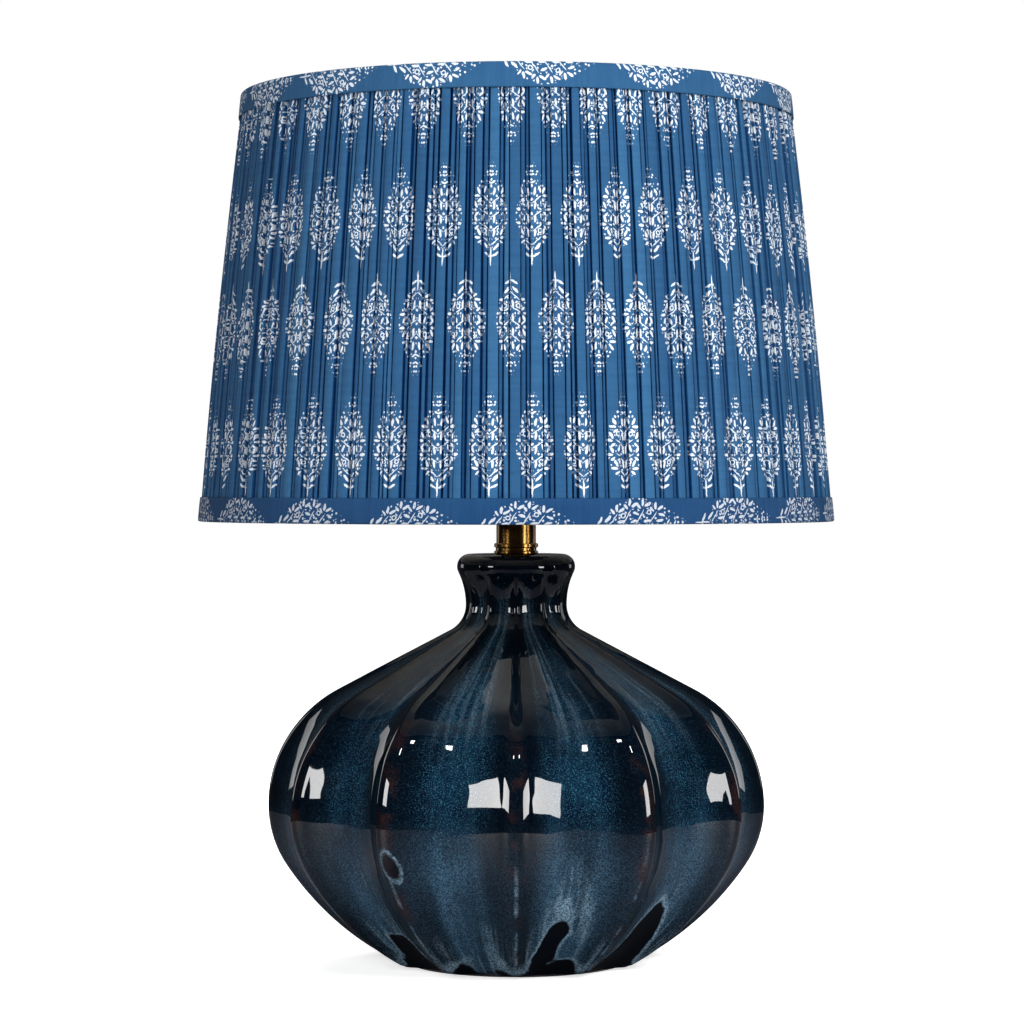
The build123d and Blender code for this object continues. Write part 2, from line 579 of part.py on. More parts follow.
def make_terminal_screws():
    """Two screws that hold the conductors, one on each side of the insulator."""
    up = (Align.CENTER, Align.CENTER, Align.MIN)
    down = (Align.CENTER, Align.CENTER, Align.MAX)
    screws = []
    for seat in terminal_places():
        head = Cylinder(TERMINAL_HEAD_RADIUS, TERMINAL_HEAD_HEIGHT, align=up)
        shank = Cylinder(TERMINAL_SHANK_RADIUS, TERMINAL_SHANK_LENGTH, align=down)
        slot = Pos(0, 0, TERMINAL_HEAD_HEIGHT) * Box(2 * TERMINAL_HEAD_RADIUS, TERMINAL_SLOT_WIDTH,
                                                     TERMINAL_HEAD_HEIGHT)
        screws.append(seat * (head + shank - slot))
    return Compound(children=screws)


def thread_wave(radius, depth, z, height):
    """Zigzag of rounded-off thread rings as (radius, height) corners, starting and ending at the radius."""
    turns = int(height // THREAD_PITCH)
    start = z + (height - turns * THREAD_PITCH) / 2
    corners = [(radius, z)]
    for turn in range(turns):
        base = start + turn * THREAD_PITCH
        corners.append((radius, base + THREAD_PITCH / 8))
        corners.append((radius + depth, base + THREAD_PITCH * 3 / 8))
        corners.append((radius + depth, base + THREAD_PITCH * 5 / 8))
        corners.append((radius, base + THREAD_PITCH * 7 / 8))
    corners.append((radius, z + height))
    return corners


def make_screw_shell():
    """Rolled-thread cup that takes the bulb, flanged inwards at its foot."""
    z = INSULATOR_TOP
    inside = thread_wave(SCREW_SHELL_RADIUS, THREAD_DEPTH, z + SCREW_SHELL_WALL,
                         SCREW_SHELL_HEIGHT - SCREW_SHELL_WALL)
    outside = [(radius + SCREW_SHELL_WALL, height) for radius, height in inside]
    foot = [(CONTACT_RADIUS + SHELL_WALL, z + SCREW_SHELL_WALL), (CONTACT_RADIUS + SHELL_WALL, z),
            (SCREW_SHELL_RADIUS + SCREW_SHELL_WALL, z)]
    return turned(*foot, *outside, *reversed(inside))


def make_centre_contact():
    """Sprung centre contact, drawn as a stepped button."""
    z = INSULATOR_TOP
    step = CONTACT_HEIGHT / 3
    tip = CONTACT_TIP_RADIUS
    return turned((0, z), (CONTACT_RADIUS, z), (CONTACT_RADIUS, z + step), (tip, z + step),
                  (tip, z + CONTACT_HEIGHT), (0, z + CONTACT_HEIGHT))


def make_switch_stem():
    """Switch spindle, from the insulator out through the shell into the knob."""
    return stem_bar(STEM_RADIUS, INSULATOR_RADIUS - STEM_DEPTH + SEAT_GAP, -KNOB_Y + KNOB_LENGTH / 2)


def make_switch_knob():
    """Fluted turn knob on the spindle."""
    front = Plane(origin=(0, KNOB_Y, SWITCH_Z), z_dir=(0, -1, 0))
    foot = (Align.CENTER, Align.CENTER, Align.MIN)
    knob = Cylinder(KNOB_RADIUS, KNOB_LENGTH, align=foot)
    knob = chamfer(knob.edges().group_by(Axis.Z)[-1], KNOB_FLUTE_RADIUS)
    flutes = PolarLocations(KNOB_RADIUS, KNOB_FLUTES) * Cylinder(KNOB_FLUTE_RADIUS, KNOB_LENGTH, align=foot)
    bore = Cylinder(STEM_RADIUS + THREAD_GAP / 2, KNOB_LENGTH / 2 + SEAT_GAP, align=foot)
    return front * (knob - flutes - bore)


def make_bulb_tip():
    """End contact of the bulb, a rounded button."""
    z = BULB_Z
    edge = BULB_TIP_HEIGHT / 2
    return turned((0, z), (BULB_TIP_RADIUS - edge, z), (BULB_TIP_RADIUS, z + edge),
                  (BULB_TIP_RADIUS, z + BULB_TIP_HEIGHT), (0, z + BULB_TIP_HEIGHT))


def make_bulb_button():
    """Glass-black insulator between the end contact and the screw cap."""
    z = BULB_Z + BULB_TIP_HEIGHT
    rim = BULB_CAP_RADIUS - THREAD_DEPTH
    return turned((0, z), (BULB_TIP_RADIUS, z), (rim, z + BULB_BUTTON_HEIGHT), (0, z + BULB_BUTTON_HEIGHT))


def make_bulb_cap():
    """Rolled-thread screw cap of the bulb."""
    wave = thread_wave(BULB_CAP_RADIUS - THREAD_DEPTH, THREAD_DEPTH, BULB_CAP_Z, BULB_CAP_HEIGHT)
    return turned((0, BULB_CAP_Z), *wave, (0, BULB_CAP_Z + BULB_CAP_HEIGHT))


def make_bulb_housing():
    """Tapered body of the bulb, between the screw cap and the globe."""
    z = BULB_HOUSING_Z
    top = BULB_GLOBE_Z
    outline = Wire([
        Edge.make_line((0, 0, z), (BULB_NECK_RADIUS, 0, z)),
        Edge.make_tangent_arc((BULB_NECK_RADIUS, 0, z), (0, 0, 1), (BULB_SHOULDER_RADIUS, 0, top)),
        Edge.make_line((BULB_SHOULDER_RADIUS, 0, top), (0, 0, top)),
        Edge.make_line((0, 0, top), (0, 0, z)),
    ])
    return revolve(Face(outline), Axis.Z)


def make_led_plate():
    """Light plate on top of the housing, inside the globe."""
    radius = BULB_SHOULDER_RADIUS - 2 * BULB_GLASS
    return ring_of(radius, 0, BULB_GLOBE_Z, LED_PLATE_THICKNESS)


def globe_outline(inset):
    """Half section of the globe, drawn in by an inset: a flared lower part and a round crown."""
    crown_z = BULB_GLOBE_Z + BULB_GLOBE_HEIGHT - BULB_RADIUS
    radius = BULB_RADIUS - inset
    shoulder = BULB_SHOULDER_RADIUS - inset
    middle = radius * cos(pi / 4)
    return Wire([
        Edge.make_line((0, 0, BULB_GLOBE_Z), (shoulder, 0, BULB_GLOBE_Z)),
        Edge.make_tangent_arc((radius, 0, crown_z), (0, 0, -1), (shoulder, 0, BULB_GLOBE_Z)),
        Edge.make_three_point_arc((radius, 0, crown_z), (middle, 0, crown_z + middle), (0, 0, crown_z + radius)),
        Edge.make_line((0, 0, crown_z + radius), (0, 0, BULB_GLOBE_Z)),
    ])


def make_bulb_globe():
    """Opal globe of the bulb, open underneath."""
    return revolve(Face(globe_outline(0)), Axis.Z) - revolve(Face(globe_outline(BULB_GLASS)), Axis.Z)


def shade_radius(z, inset):
    """Radius of a layer of the shade at height z, inset from the outside of the trims."""
    share = (z - SHADE_BOTTOM_Z) / SHADE_HEIGHT
    return SHADE_BOTTOM_RADIUS + (SHADE_TOP_RADIUS - SHADE_BOTTOM_RADIUS) * share - inset


def cone_wall(outer_inset, inner_inset, low, high):
    """Conical wall between two layers of the shade and two heights."""
    return turned((shade_radius(low, inner_inset), low), (shade_radius(low, outer_inset), low),
                  (shade_radius(high, outer_inset), high), (shade_radius(high, inner_inset), high))


def make_ring_wire(z):
    """Round wire ring of the shade frame at height z."""
    return Pos(0, 0, z) * Torus(shade_radius(z, WIRE_INSET), RING_WIRE_RADIUS)


def make_shade_struts():
    """Straight wires between the two rings of the shade frame."""
    rings = make_ring_wire(BOTTOM_RING_Z) + make_ring_wire(TOP_RING_Z)
    struts = []
    for index in range(STRUT_COUNT):
        angle = 360 * index / STRUT_COUNT
        low = polar(shade_radius(BOTTOM_RING_Z, WIRE_INSET), angle, BOTTOM_RING_Z)
        high = polar(shade_radius(TOP_RING_Z, WIRE_INSET), angle, TOP_RING_Z)
        struts.append(rod(low, high, STRUT_RADIUS) - rings)
    return Compound(children=[strut.solid() for strut in struts])


def spider_arm_ends(angle):
    """Ends of a spider arm: the middle of the top ring's wire and a point inside the hub's rim."""
    outer = polar(shade_radius(TOP_RING_Z, WIRE_INSET), angle, TOP_RING_Z)
    inner = polar(HUB_RADIUS - SPIDER_ARM_RADIUS, angle, HUB_Z + HUB_THICKNESS / 2)
    return outer, inner


def spider_arm_cuts():
    """Room for the spider's arms through lining and trim."""
    cuts = [rod(*spider_arm_ends(angle), SPIDER_ARM_RADIUS + CLOTH_GAP) for angle in SPIDER_ARM_ANGLES]
    return cuts[0] + cuts[1] + cuts[2]


def make_spider_arms():
    """Arms that carry the shade, from the hub up to the top ring."""
    ring = make_ring_wire(TOP_RING_Z)
    hub = ring_of(HUB_RADIUS, 0, HUB_Z - HUB_THICKNESS, 3 * HUB_THICKNESS)
    arms = [rod(*spider_arm_ends(angle), SPIDER_ARM_RADIUS) - ring - hub for angle in SPIDER_ARM_ANGLES]
    return Compound(children=[arm.solid() for arm in arms])


def make_spider_hub():
    """Washer in the middle of the spider, which sits on the harp's flange."""
    return ring_of(HUB_RADIUS, STUD_RADIUS + CLOTH_GAP, HUB_Z, HUB_THICKNESS)


def make_lining():
    """Stiff lining inside the frame, notched at the top for the spider's arms."""
    return cone_wall(LINING_INSET, LINING_INNER_INSET, CLOTH_BOTTOM_Z, CLOTH_TOP_Z) - spider_arm_cuts()


def pleated_ring(z):
    """Outline of the gathered cloth at height z: each pleat is a low arch between two folds."""
    crest = shade_radius(z, CREST_INSET)
    fold = crest - PLEAT_DEPTH
    pitch = 360 / PLEAT_COUNT
    edges = []
    for index in range(PLEAT_COUNT):
        angle = index * pitch
        edges.append(Edge.make_three_point_arc(
            polar(fold, angle, z), polar(crest, angle + pitch / 2, z), polar(fold, angle + pitch, z)))
    return Wire(edges)


def make_pleated_cover():
    """Gathered cloth: pleats that run straight from the bottom trim to the top trim."""
    cloth = Solid.make_loft([pleated_ring(CLOTH_BOTTOM_Z), pleated_ring(CLOTH_TOP_Z)], ruled=True)
    room = turned((0, CLOTH_BOTTOM_Z), (shade_radius(CLOTH_BOTTOM_Z, COVER_BACK_INSET), CLOTH_BOTTOM_Z),
                  (shade_radius(CLOTH_TOP_Z, COVER_BACK_INSET), CLOTH_TOP_Z), (0, CLOTH_TOP_Z))
    return cloth - room


def make_trim(edge, away):
    """Binding folded over a ring: edge is its closed end, away is +1 for the bottom trim and -1 for the top."""
    fold = edge + away * TRIM_WALL
    end = edge + away * TRIM_HEIGHT
    return turned(
        (shade_radius(edge, 0), edge), (shade_radius(end, 0), end), (shade_radius(end, TRIM_WALL), end),
        (shade_radius(fold, TRIM_WALL), fold), (shade_radius(fold, TRIM_CHANNEL_INSET), fold),
        (shade_radius(end, TRIM_CHANNEL_INSET), end), (shade_radius(end, TRIM_INNER_INSET), end),
        (shade_radius(edge, TRIM_INNER_INSET), edge))


def make_finial_bush():
    """Threaded brass bush of the finial, flanged to press on the shade's hub."""
    bore = STUD_RADIUS + THREAD_GAP
    step = BUSH_Z + BUSH_FLANGE_HEIGHT
    return turned((bore, BUSH_Z), (BUSH_FLANGE_RADIUS, BUSH_Z), (BUSH_FLANGE_RADIUS, step), (BUSH_RADIUS, step),
                  (BUSH_RADIUS, BUSH_Z + BUSH_HEIGHT), (bore, BUSH_Z + BUSH_HEIGHT))


def make_finial_knob():
    """Turned ball on the bush, bored to clear the stud."""
    foot = BUSH_Z + BUSH_FLANGE_HEIGHT
    ball_z = foot + FINIAL_BALL_RISE
    bush_top = BUSH_Z + BUSH_HEIGHT + SEAT_GAP
    stud_top = HUB_Z + STUD_LENGTH + 2 * SEAT_GAP
    neck = ring_of(FINIAL_NECK_RADIUS, 0, foot, FINIAL_NECK_HEIGHT)
    waist = ring_of(FINIAL_WAIST_RADIUS, 0, foot, FINIAL_BALL_RISE)
    ball = Pos(0, 0, ball_z) * Sphere(FINIAL_BALL_RADIUS)
    bush_room = ring_of(BUSH_RADIUS + THREAD_GAP / 2, 0, foot, bush_top - foot)
    stud_room = ring_of(STUD_RADIUS + SLIDE_GAP, 0, foot, stud_top - foot)
    return neck + waist + ball - bush_room - stud_room


def make_parts():
    """Every piece of the lamp by its name."""
    nipple_gap = NIPPLE_RADIUS + THREAD_GAP
    return {
        "base_felt": make_base_felt(),
        "ceramic_body": make_ceramic_body(),
        "cord_bushing": make_cord_bushing(),
        "rubber_washer": ring_of(WASHER_RADIUS, nipple_gap, RUBBER_WASHER_Z, RUBBER_WASHER_THICKNESS),
        "steel_washer": ring_of(WASHER_RADIUS, nipple_gap, STEEL_WASHER_Z, STEEL_WASHER_THICKNESS),
        "clamp_nut": make_nut(),
        "threaded_nipple": ring_of(NIPPLE_RADIUS, NIPPLE_BORE_RADIUS, NIPPLE_Z, NIPPLE_TOP - NIPPLE_Z),
        "neck_ring": make_neck_ring(),
        "neck_tube": ring_of(TUBE_RADIUS, TUBE_RADIUS - TUBE_WALL, TUBE_Z, TUBE_LENGTH),
        "neck_cap": make_neck_cap(),
        "harp_saddle": make_harp_saddle(),
        "harp": make_harp(),
        "harp_stud": make_harp_stud(),
        "harp_sleeve_left": make_harp_sleeve(-1),
        "harp_sleeve_right": make_harp_sleeve(1),
        "socket_cap": make_socket_cap(),
        "cap_set_screw": set_screw_blank(SET_SCREW_RADIUS),
        "socket_shell": make_socket_shell(),
        "socket_liner": make_socket_liner(),
        "socket_insulator": make_socket_insulator(),
        "terminal_screws": make_terminal_screws(),
        "screw_shell": make_screw_shell(),
        "centre_contact": make_centre_contact(),
        "switch_stem": make_switch_stem(),
        "switch_knob": make_switch_knob(),
        "bulb_tip": make_bulb_tip(),
        "bulb_button": make_bulb_button(),
        "bulb_cap": make_bulb_cap(),
        "bulb_housing": make_bulb_housing(),
        "bulb_led_plate": make_led_plate(),
        "bulb_globe": make_bulb_globe(),
        "shade_bottom_ring": make_ring_wire(BOTTOM_RING_Z),
        "shade_top_ring": make_ring_wire(TOP_RING_Z),
        "shade_struts": make_shade_struts(),
        "spider_hub": make_spider_hub(),
        "spider_arms": make_spider_arms(),
        "shade_lining": make_lining(),
        "shade_cover": make_pleated_cover(),
        "shade_bottom_trim": make_trim(SHADE_BOTTOM_Z, 1),
        "shade_top_trim": make_trim(SHADE_TOP_Z, -1) - spider_arm_cuts(),
        "finial_bush": make_finial_bush(),
        "finial_knob": make_finial_knob(),
    }


os.makedirs(PARTS_FOLDER, exist_ok=True)
for name, shape in make_parts().items():
    export_step(shape, os.path.join(PARTS_FOLDER, name + ".step"))
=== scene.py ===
"""Looks of a ceramic table lamp: ribbed glazed body, brass neck and gathered block-print shade.

Every length is in metres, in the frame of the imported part: +Z up, the front faces -Y.
"""
import json
import math
from contextlib import contextmanager

import bmesh
import bpy
import numpy as np
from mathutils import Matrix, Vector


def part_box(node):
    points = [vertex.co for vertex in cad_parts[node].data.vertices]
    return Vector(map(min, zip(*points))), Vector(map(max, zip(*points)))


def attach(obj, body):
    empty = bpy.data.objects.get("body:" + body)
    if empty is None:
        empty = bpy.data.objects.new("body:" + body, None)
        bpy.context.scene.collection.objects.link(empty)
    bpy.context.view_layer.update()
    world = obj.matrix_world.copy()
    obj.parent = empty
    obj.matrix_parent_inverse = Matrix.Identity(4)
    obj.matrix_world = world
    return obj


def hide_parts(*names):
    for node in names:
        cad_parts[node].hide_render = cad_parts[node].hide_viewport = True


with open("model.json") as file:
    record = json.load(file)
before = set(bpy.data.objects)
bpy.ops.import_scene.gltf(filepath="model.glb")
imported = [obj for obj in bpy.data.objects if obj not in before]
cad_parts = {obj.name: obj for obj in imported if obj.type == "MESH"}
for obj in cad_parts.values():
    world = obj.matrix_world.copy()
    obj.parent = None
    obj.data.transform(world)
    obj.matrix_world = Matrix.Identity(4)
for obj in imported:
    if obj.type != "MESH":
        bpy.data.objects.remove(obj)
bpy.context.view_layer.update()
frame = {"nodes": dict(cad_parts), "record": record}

bl_info = {
    "name": "Ceramic table lamp",
    "version": (1, 0, 0),
    "blender": (4, 5, 0),
    "location": "3D View > Sidebar > Lamp",
    "description": "Builds the glazed body, the cloth shade and the finishes of a table lamp",
    "category": "Object",
}

MM = 0.001
TURN = 2 * math.pi
SEED = 11

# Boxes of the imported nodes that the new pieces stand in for
BODY_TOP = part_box("ceramic_body")[1].z
FELT_LOW, FELT_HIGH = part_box("base_felt")
BASE_TRIM_LOW, BASE_TRIM_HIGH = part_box("shade_bottom_trim")
TOP_TRIM_LOW, TOP_TRIM_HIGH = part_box("shade_top_trim")
COVER_LOW, COVER_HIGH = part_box("shade_cover")
LINING_LOW, LINING_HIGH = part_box("shade_lining")

# Rib line of the glazed body, as shares of its height and as lengths
FOOT_Z = FELT_HIGH.z
FOOT_RADIUS = 71.0 * MM
BELLY_RADIUS = 139.4 * MM
BELLY_Z = BODY_TOP * 0.383
LOWER_BELLY_ROUND = BODY_TOP * 0.2626
LOWER_BELLY_TURN = math.radians(34)
UPPER_BELLY_ROUND = BODY_TOP * 0.3217
WAIST_Z = BODY_TOP * 0.8759
NECK_RADIUS = 28.4 * MM
NECK_ROUND = 16.2 * MM
LIP_RADIUS = 33.2 * MM
LIP_ROUND = 7.0 * MM
WALL = 6.5 * MM
DECK_THICKNESS = 10.0 * MM
NECK_BORE = 19.0 * MM
NIPPLE_HOLE = 5.25 * MM
FOOT_OPENING = 50.0 * MM
RIB_COUNT = 12
FLUTE_SHARE = 12.7 / 139.4   # flute depth over the ribs' radius
CREST_SHARE = 9.6 / 139.4    # round of a rib's crest over the ribs' radius
FOOT_EDGE = 1.2 * MM         # round of the foot's lower edge

# Bare spot in the glaze beside a rib: its middle, half its size on each axis and its tilt
CRAWL_PLACE = (-66.0 * MM, -118.0 * MM, 67.0 * MM)
CRAWL_SIZE = (3.8 * MM, 6.0 * MM, 8.4 * MM)
CRAWL_TILT = (math.radians(12), math.radians(-24), 0.0)

# The cord's hole: its radius, and how far it cuts to either side of the bushing's middle
CORD_BUSHING = "cord_bushing"
HOLE_RADIUS = 5.2 * MM
HOLE_REACH = 20.0 * MM

# Grids: columns round each piece, and rows of the rib line's rounds from the foot up to the lip
RIB_COLUMNS = 48             # from one rib to the next
TRIM_COLUMNS = 720
LINING_COLUMNS = 240
FELT_COLUMNS = 180
FLOOR_COLUMNS = 96
COVER_LEVELS = 25
FOOT_ROWS, LOWER_BELLY_ROWS, UPPER_BELLY_ROWS, SHOULDER_ROWS = 34, 14, 28, 14
NECK_ROWS, FLARE_ROWS, LIP_ROWS = 16, 14, 16

# Cone of the shade: radius outside the trims at the lower edge, and its change with height
SHADE_BASE_Z = BASE_TRIM_LOW.z
SHADE_TOP_Z = TOP_TRIM_HIGH.z
SHADE_BASE_RADIUS = (BASE_TRIM_HIGH.x - BASE_TRIM_LOW.x) / 2
SHADE_SLOPE = ((TOP_TRIM_HIGH.x - TOP_TRIM_LOW.x) / 2 - SHADE_BASE_RADIUS) / (TOP_TRIM_LOW.z - SHADE_BASE_Z)
TRIM_HEIGHT = BASE_TRIM_HIGH.z - BASE_TRIM_LOW.z
COVER_INSET = 0.95 * MM
LINING_INSET = 7.15 * MM
LINING_WALL = 0.7 * MM
# painted shade: each point of the cover carries how much shade is painted on it, darkest in the gaps
PAINTED_FOLD_SHADE = "painted_fold_shade"      # attribute of the cover: 0 deep in a gap, 1 on the lightest face

# Folds of the cover: ranges in millimetres, with the breadths taken before the folds are fitted to the rim
NARROW_FACE = (1.3, 2.7)
WIDE_FACE = (3.8, 7.0)
SUNK_FACE = (0.2, 1.5)       # how far a narrow fold lies back
FOLD_EDGE = 0.30 * MM        # rounded edge of a fold
FOLD_TUCK = 0.45 * MM        # how far a gap's floor runs under a fold


def shade_radius(z, inset):
    """Radius of a layer of the shade at height z, inset from the outside of the trims."""
    return SHADE_BASE_RADIUS + SHADE_SLOPE * (z - SHADE_BASE_Z) - inset


# Sizes and colours that a user may change

def tint(name, description, default):
    """Setting for a colour."""
    return bpy.props.FloatVectorProperty(name=name, description=description, subtype="COLOR", default=default)


def measure(name, description, default, **limits):
    """Setting for a length."""
    return bpy.props.FloatProperty(name=name, description=description, default=default, unit="LENGTH",
                                   precision=5, **{"min": 0.0, **limits})


class GlazeSettings(bpy.types.PropertyGroup):
    """Colours and wear of the glazed body."""
    deep: tint("Deep", "Glaze where it lies thick and dark", (0.0003, 0.0010, 0.0030))
    blue: tint("Blue", "Glaze in the middle of the flutes", (0.0026, 0.0115, 0.0300))
    fleck: tint("Flecks", "Fine bright flecks in the glaze", (0.055, 0.200, 0.260))
    pool: tint("Pooled", "Milky blue of the glaze on the lower belly", (0.060, 0.128, 0.205))
    milk: tint("Milky runs", "Pale runs at the edge of the upper glaze", (0.26, 0.40, 0.52))
    rust: tint("Rust", "Clay colour where the glaze breaks on a rib", (0.045, 0.014, 0.007))
    waviness: measure("Waviness", "Height of the slow waves of the hand-made wall", 0.16 * MM)


class ShadeSettings(bpy.types.PropertyGroup):
    """Pleats and cloth of the shade."""
    pleats: bpy.props.IntProperty(
        name="Pleats", description="Wide flats round the shade", default=112, min=24, max=200)
    slit: measure("Slit", "Mean gap between two folds of the cloth", 0.78 * MM)
    depth: measure("Depth", "Depth of the gaps between the folds", 2.3 * MM, max=3.0 * MM)
    hidden: measure("Hidden cloth", "Print that is lost in each gap", 2.1 * MM)
    bow: measure("Bow", "How far the cloth stands out at half height", 1.3 * MM)
    cloth: tint("Cloth", "Ground colour of the cotton", (0.0260, 0.0990, 0.2080))
    shadow: tint("Cloth in shadow", "Ground colour deep in the folds", (0.0005, 0.0190, 0.0780))
    ink: tint("Print", "Colour of the printed sprigs", (0.70, 0.75, 0.80))


class StageSettings(bpy.types.PropertyGroup):
    """Camera of the photo."""
    distance: measure("Distance", "Camera in front of the lamp's axis", 1.769, min=0.5)
    eye: measure("Eye height", "Camera above the table", 0.267)
    lens: bpy.props.FloatProperty(
        name="Lens", description="Focal length in millimetres", default=110.6, min=20.0)
    shift_x: bpy.props.FloatProperty(
        name="Shift across", description="Share of the frame that the view slides across", default=-0.004)
    shift_y: bpy.props.FloatProperty(
        name="Shift up", description="Share of the frame that the view slides up", default=-0.026)


# Node trees

class Graph:
    """Short calls that add nodes to one node tree."""

    def __init__(self, tree):
        self.tree = tree

    def feed(self, socket, value):
        """Links a socket to another, or sets its value."""
        if isinstance(value, bpy.types.NodeSocket):
            self.tree.links.new(value, socket)
        else:
            socket.default_value = value

    def add(self, kind, out=0, feeds=None, **settings):
        """New node with its settings and inputs, as one of its outputs."""
        node = self.tree.nodes.new(kind)
        for key, value in settings.items():
            setattr(node, key, value)
        for key, value in (feeds or {}).items():
            self.feed(node.inputs[key], value)
        return node.outputs[out]

    def math(self, operation, first, *others):
        """Result of an operation on one value, on two, or on more from left to right."""
        if not others:
            return self.add("ShaderNodeMath", feeds={0: first}, operation=operation)
        for other in others:
            first = self.add("ShaderNodeMath", feeds={0: first, 1: other}, operation=operation)
        return first

    def times(self, *values):
        """Product of values."""
        return self.math("MULTIPLY", *values)

    def plus(self, *values):
        """Values added up."""
        return self.math("ADD", *values)

    def minus(self, a, b):
        """One value less another."""
        return self.math("SUBTRACT", a, b)

    def most(self, *values):
        """The largest of values."""
        return self.math("MAXIMUM", *values)

    def line(self, value, slope, start):
        """Value times slope, plus start."""
        return self.add("ShaderNodeMath", feeds={0: value, 1: slope, 2: start}, operation="MULTIPLY_ADD")

    def length(self, vector):
        """Length of a vector."""
        return self.add("ShaderNodeVectorMath", out="Value", feeds={0: vector}, operation="LENGTH")

    def ramp(self, value, low, high):
        """Smooth step from 0 at low to 1 at high."""
        feeds = {"Value": value, "From Min": low, "From Max": high}
        return self.add("ShaderNodeMapRange", feeds=feeds, interpolation_type="SMOOTHSTEP")

    def mix(self, factor, a, b, blend="MIX"):
        """Mix of two colours."""
        feeds = {0: factor, 6: a, 7: b}
        return self.add("ShaderNodeMix", out=2, feeds=feeds, data_type="RGBA", blend_type=blend)

    def noise(self, vector, scale, detail=2.0, rough=0.5, distort=0.0):
        """Cloudy noise from 0 to 1, with one scale or a scale of its own on each axis."""
        if isinstance(scale, tuple):
            vector = self.add("ShaderNodeVectorMath", feeds={0: vector, 1: scale}, operation="MULTIPLY")
            scale = 1.0
        feeds = {"Vector": vector, "Scale": scale, "Detail": detail, "Roughness": rough,
                 "Distortion": distort}
        return self.add("ShaderNodeTexNoise", feeds=feeds)

    def parts(self, vector):
        """The three parts of a vector."""
        split = self.tree.nodes.new("ShaderNodeSeparateXYZ")
        self.feed(split.inputs[0], vector)
        return split.outputs

    def joined(self, x, y, z=0.0):
        """Vector from its three parts."""
        return self.add("ShaderNodeCombineXYZ", feeds={0: x, 1: y, 2: z})

    def place(self, kind):
        """Object coordinates or the piece's own UV map, in metres."""
        return self.add("ShaderNodeTexCoord", out=kind)

    def group(self, name, **feeds):
        """A shared effect, as its outputs."""
        node = self.tree.nodes.new("ShaderNodeGroup")
        node.node_tree = bpy.data.node_groups[name]
        for key, value in feeds.items():
            self.feed(node.inputs[key], value)
        return node.outputs


def new_group(name, inputs, outputs):
    """Empty node group with named sockets, as its graph, its inputs and the sockets of its outputs."""
    tree = bpy.data.node_groups.new(name, "ShaderNodeTree")
    for label, kind in inputs:
        tree.interface.new_socket(label, in_out="INPUT", socket_type="NodeSocket" + kind)
    for label, kind in outputs:
        tree.interface.new_socket(label, in_out="OUTPUT", socket_type="NodeSocket" + kind)
    return Graph(tree), tree.nodes.new("NodeGroupInput").outputs, tree.nodes.new("NodeGroupOutput").inputs


def new_material(name, **sockets):
    """Material with one Principled shader whose plain values are set on its own sockets."""
    material = bpy.data.materials.new(name)
    material.use_nodes = True
    tree = material.node_tree
    tree.nodes.clear()
    shader = tree.nodes.new("ShaderNodeBsdfPrincipled")
    output = tree.nodes.new("ShaderNodeOutputMaterial")
    tree.links.new(shader.outputs[0], output.inputs["Surface"])
    for label, value in sockets.items():
        shader.inputs[label.replace("_", " ")].default_value = value
    return material, Graph(tree), shader.inputs


def bump(graph, shader, height, distance, strength=1.0):
    """Feeds a height to the shader's normal."""
    normal = graph.add("ShaderNodeBump", out="Normal",
                       feeds={"Height": height, "Distance": distance, "Strength": strength})
    graph.feed(shader["Normal"], normal)


def rgba(colour):
    """Colour with full alpha."""
    return (*colour, 1.0)


# Printed sprig: one unit is its height, from the foot of the stem at -0.5 to the tip at 0.5
SPRIG_HEIGHT = 56.0 * MM
SPRIG_SPACING = 34.5 * MM
SPRIG_ROW = 59.4 * MM
SPRIG_START = 8.0 * MM       # the first row's stems above the lower edge of the cloth
PRINT_WOBBLE = 1.1 * MM      # how far the noise of the hand print moves an edge
INK_LINE = 0.0055            # half the breadth of a drawn line
INK_EDGE = (1.14, 0.86)      # a shape's edge is at 1, and the ink fades between these
ALMOND_BREADTH = 0.235       # half the breadth of the sprig's outline
ALMOND_FOOT = -0.37          # where the outline starts above the stem
ALMOND_HEIGHT = 0.84
ALMOND_LEAN = 0.72           # below 1 the outline is widest nearer the stem
SEED_SPACING = 0.045
SEED_RADIUS = 0.0100


def sprig_shapes():
    """Right half of the sprig as (x, y, half length, half breadth, tilt in degrees, drawn as an outline).

    Branches leave the stem one above another, and each ends in a fan of three leaves at the sprig's outline.
    """
    shapes = [(0.0, -0.42, 0.085, 0.0085, 90, False), (0.046, -0.405, 0.042, 0.0110, 28, False),
              (0.060, -0.330, 0.044, 0.0130, 46, False), (0.016, 0.265, 0.030, 0.0090, 26, False),
              (0.012, 0.335, 0.022, 0.0080, 26, False)]
    for step in range(4):
        y = 0.128 * step - 0.235
        reach = ALMOND_BREADTH * math.sin(math.pi * ((y - ALMOND_FOOT) / ALMOND_HEIGHT) ** ALMOND_LEAN)
        tip = 0.60 * reach
        foot = y - 0.085
        shapes += [
            (tip / 2, (foot + y) / 2, math.hypot(tip, y - foot) / 2, INK_LINE,
             math.degrees(math.atan2(y - foot, tip)), False),
            (0.80 * reach, y + 0.040, 0.036, 0.0135, 60, False),
            (0.90 * reach, y - 0.008, 0.034, 0.0130, 6, False),
            (0.74 * reach, y - 0.048, 0.027, 0.0110, -36, False),
            (0.034, y + 0.030, 0.037, 0.0125, 82, False),
            (0.0, y + 0.083, 0.011, 0.0130, 0, False),
        ]
        if step % 2:
            shapes.append((0.46 * reach, y + 0.050, 0.033, 0.0120, 112, False))
        else:
            shapes.append((0.50 * reach, y + 0.052, 0.019, 0.0190, 0, True))
    return shapes


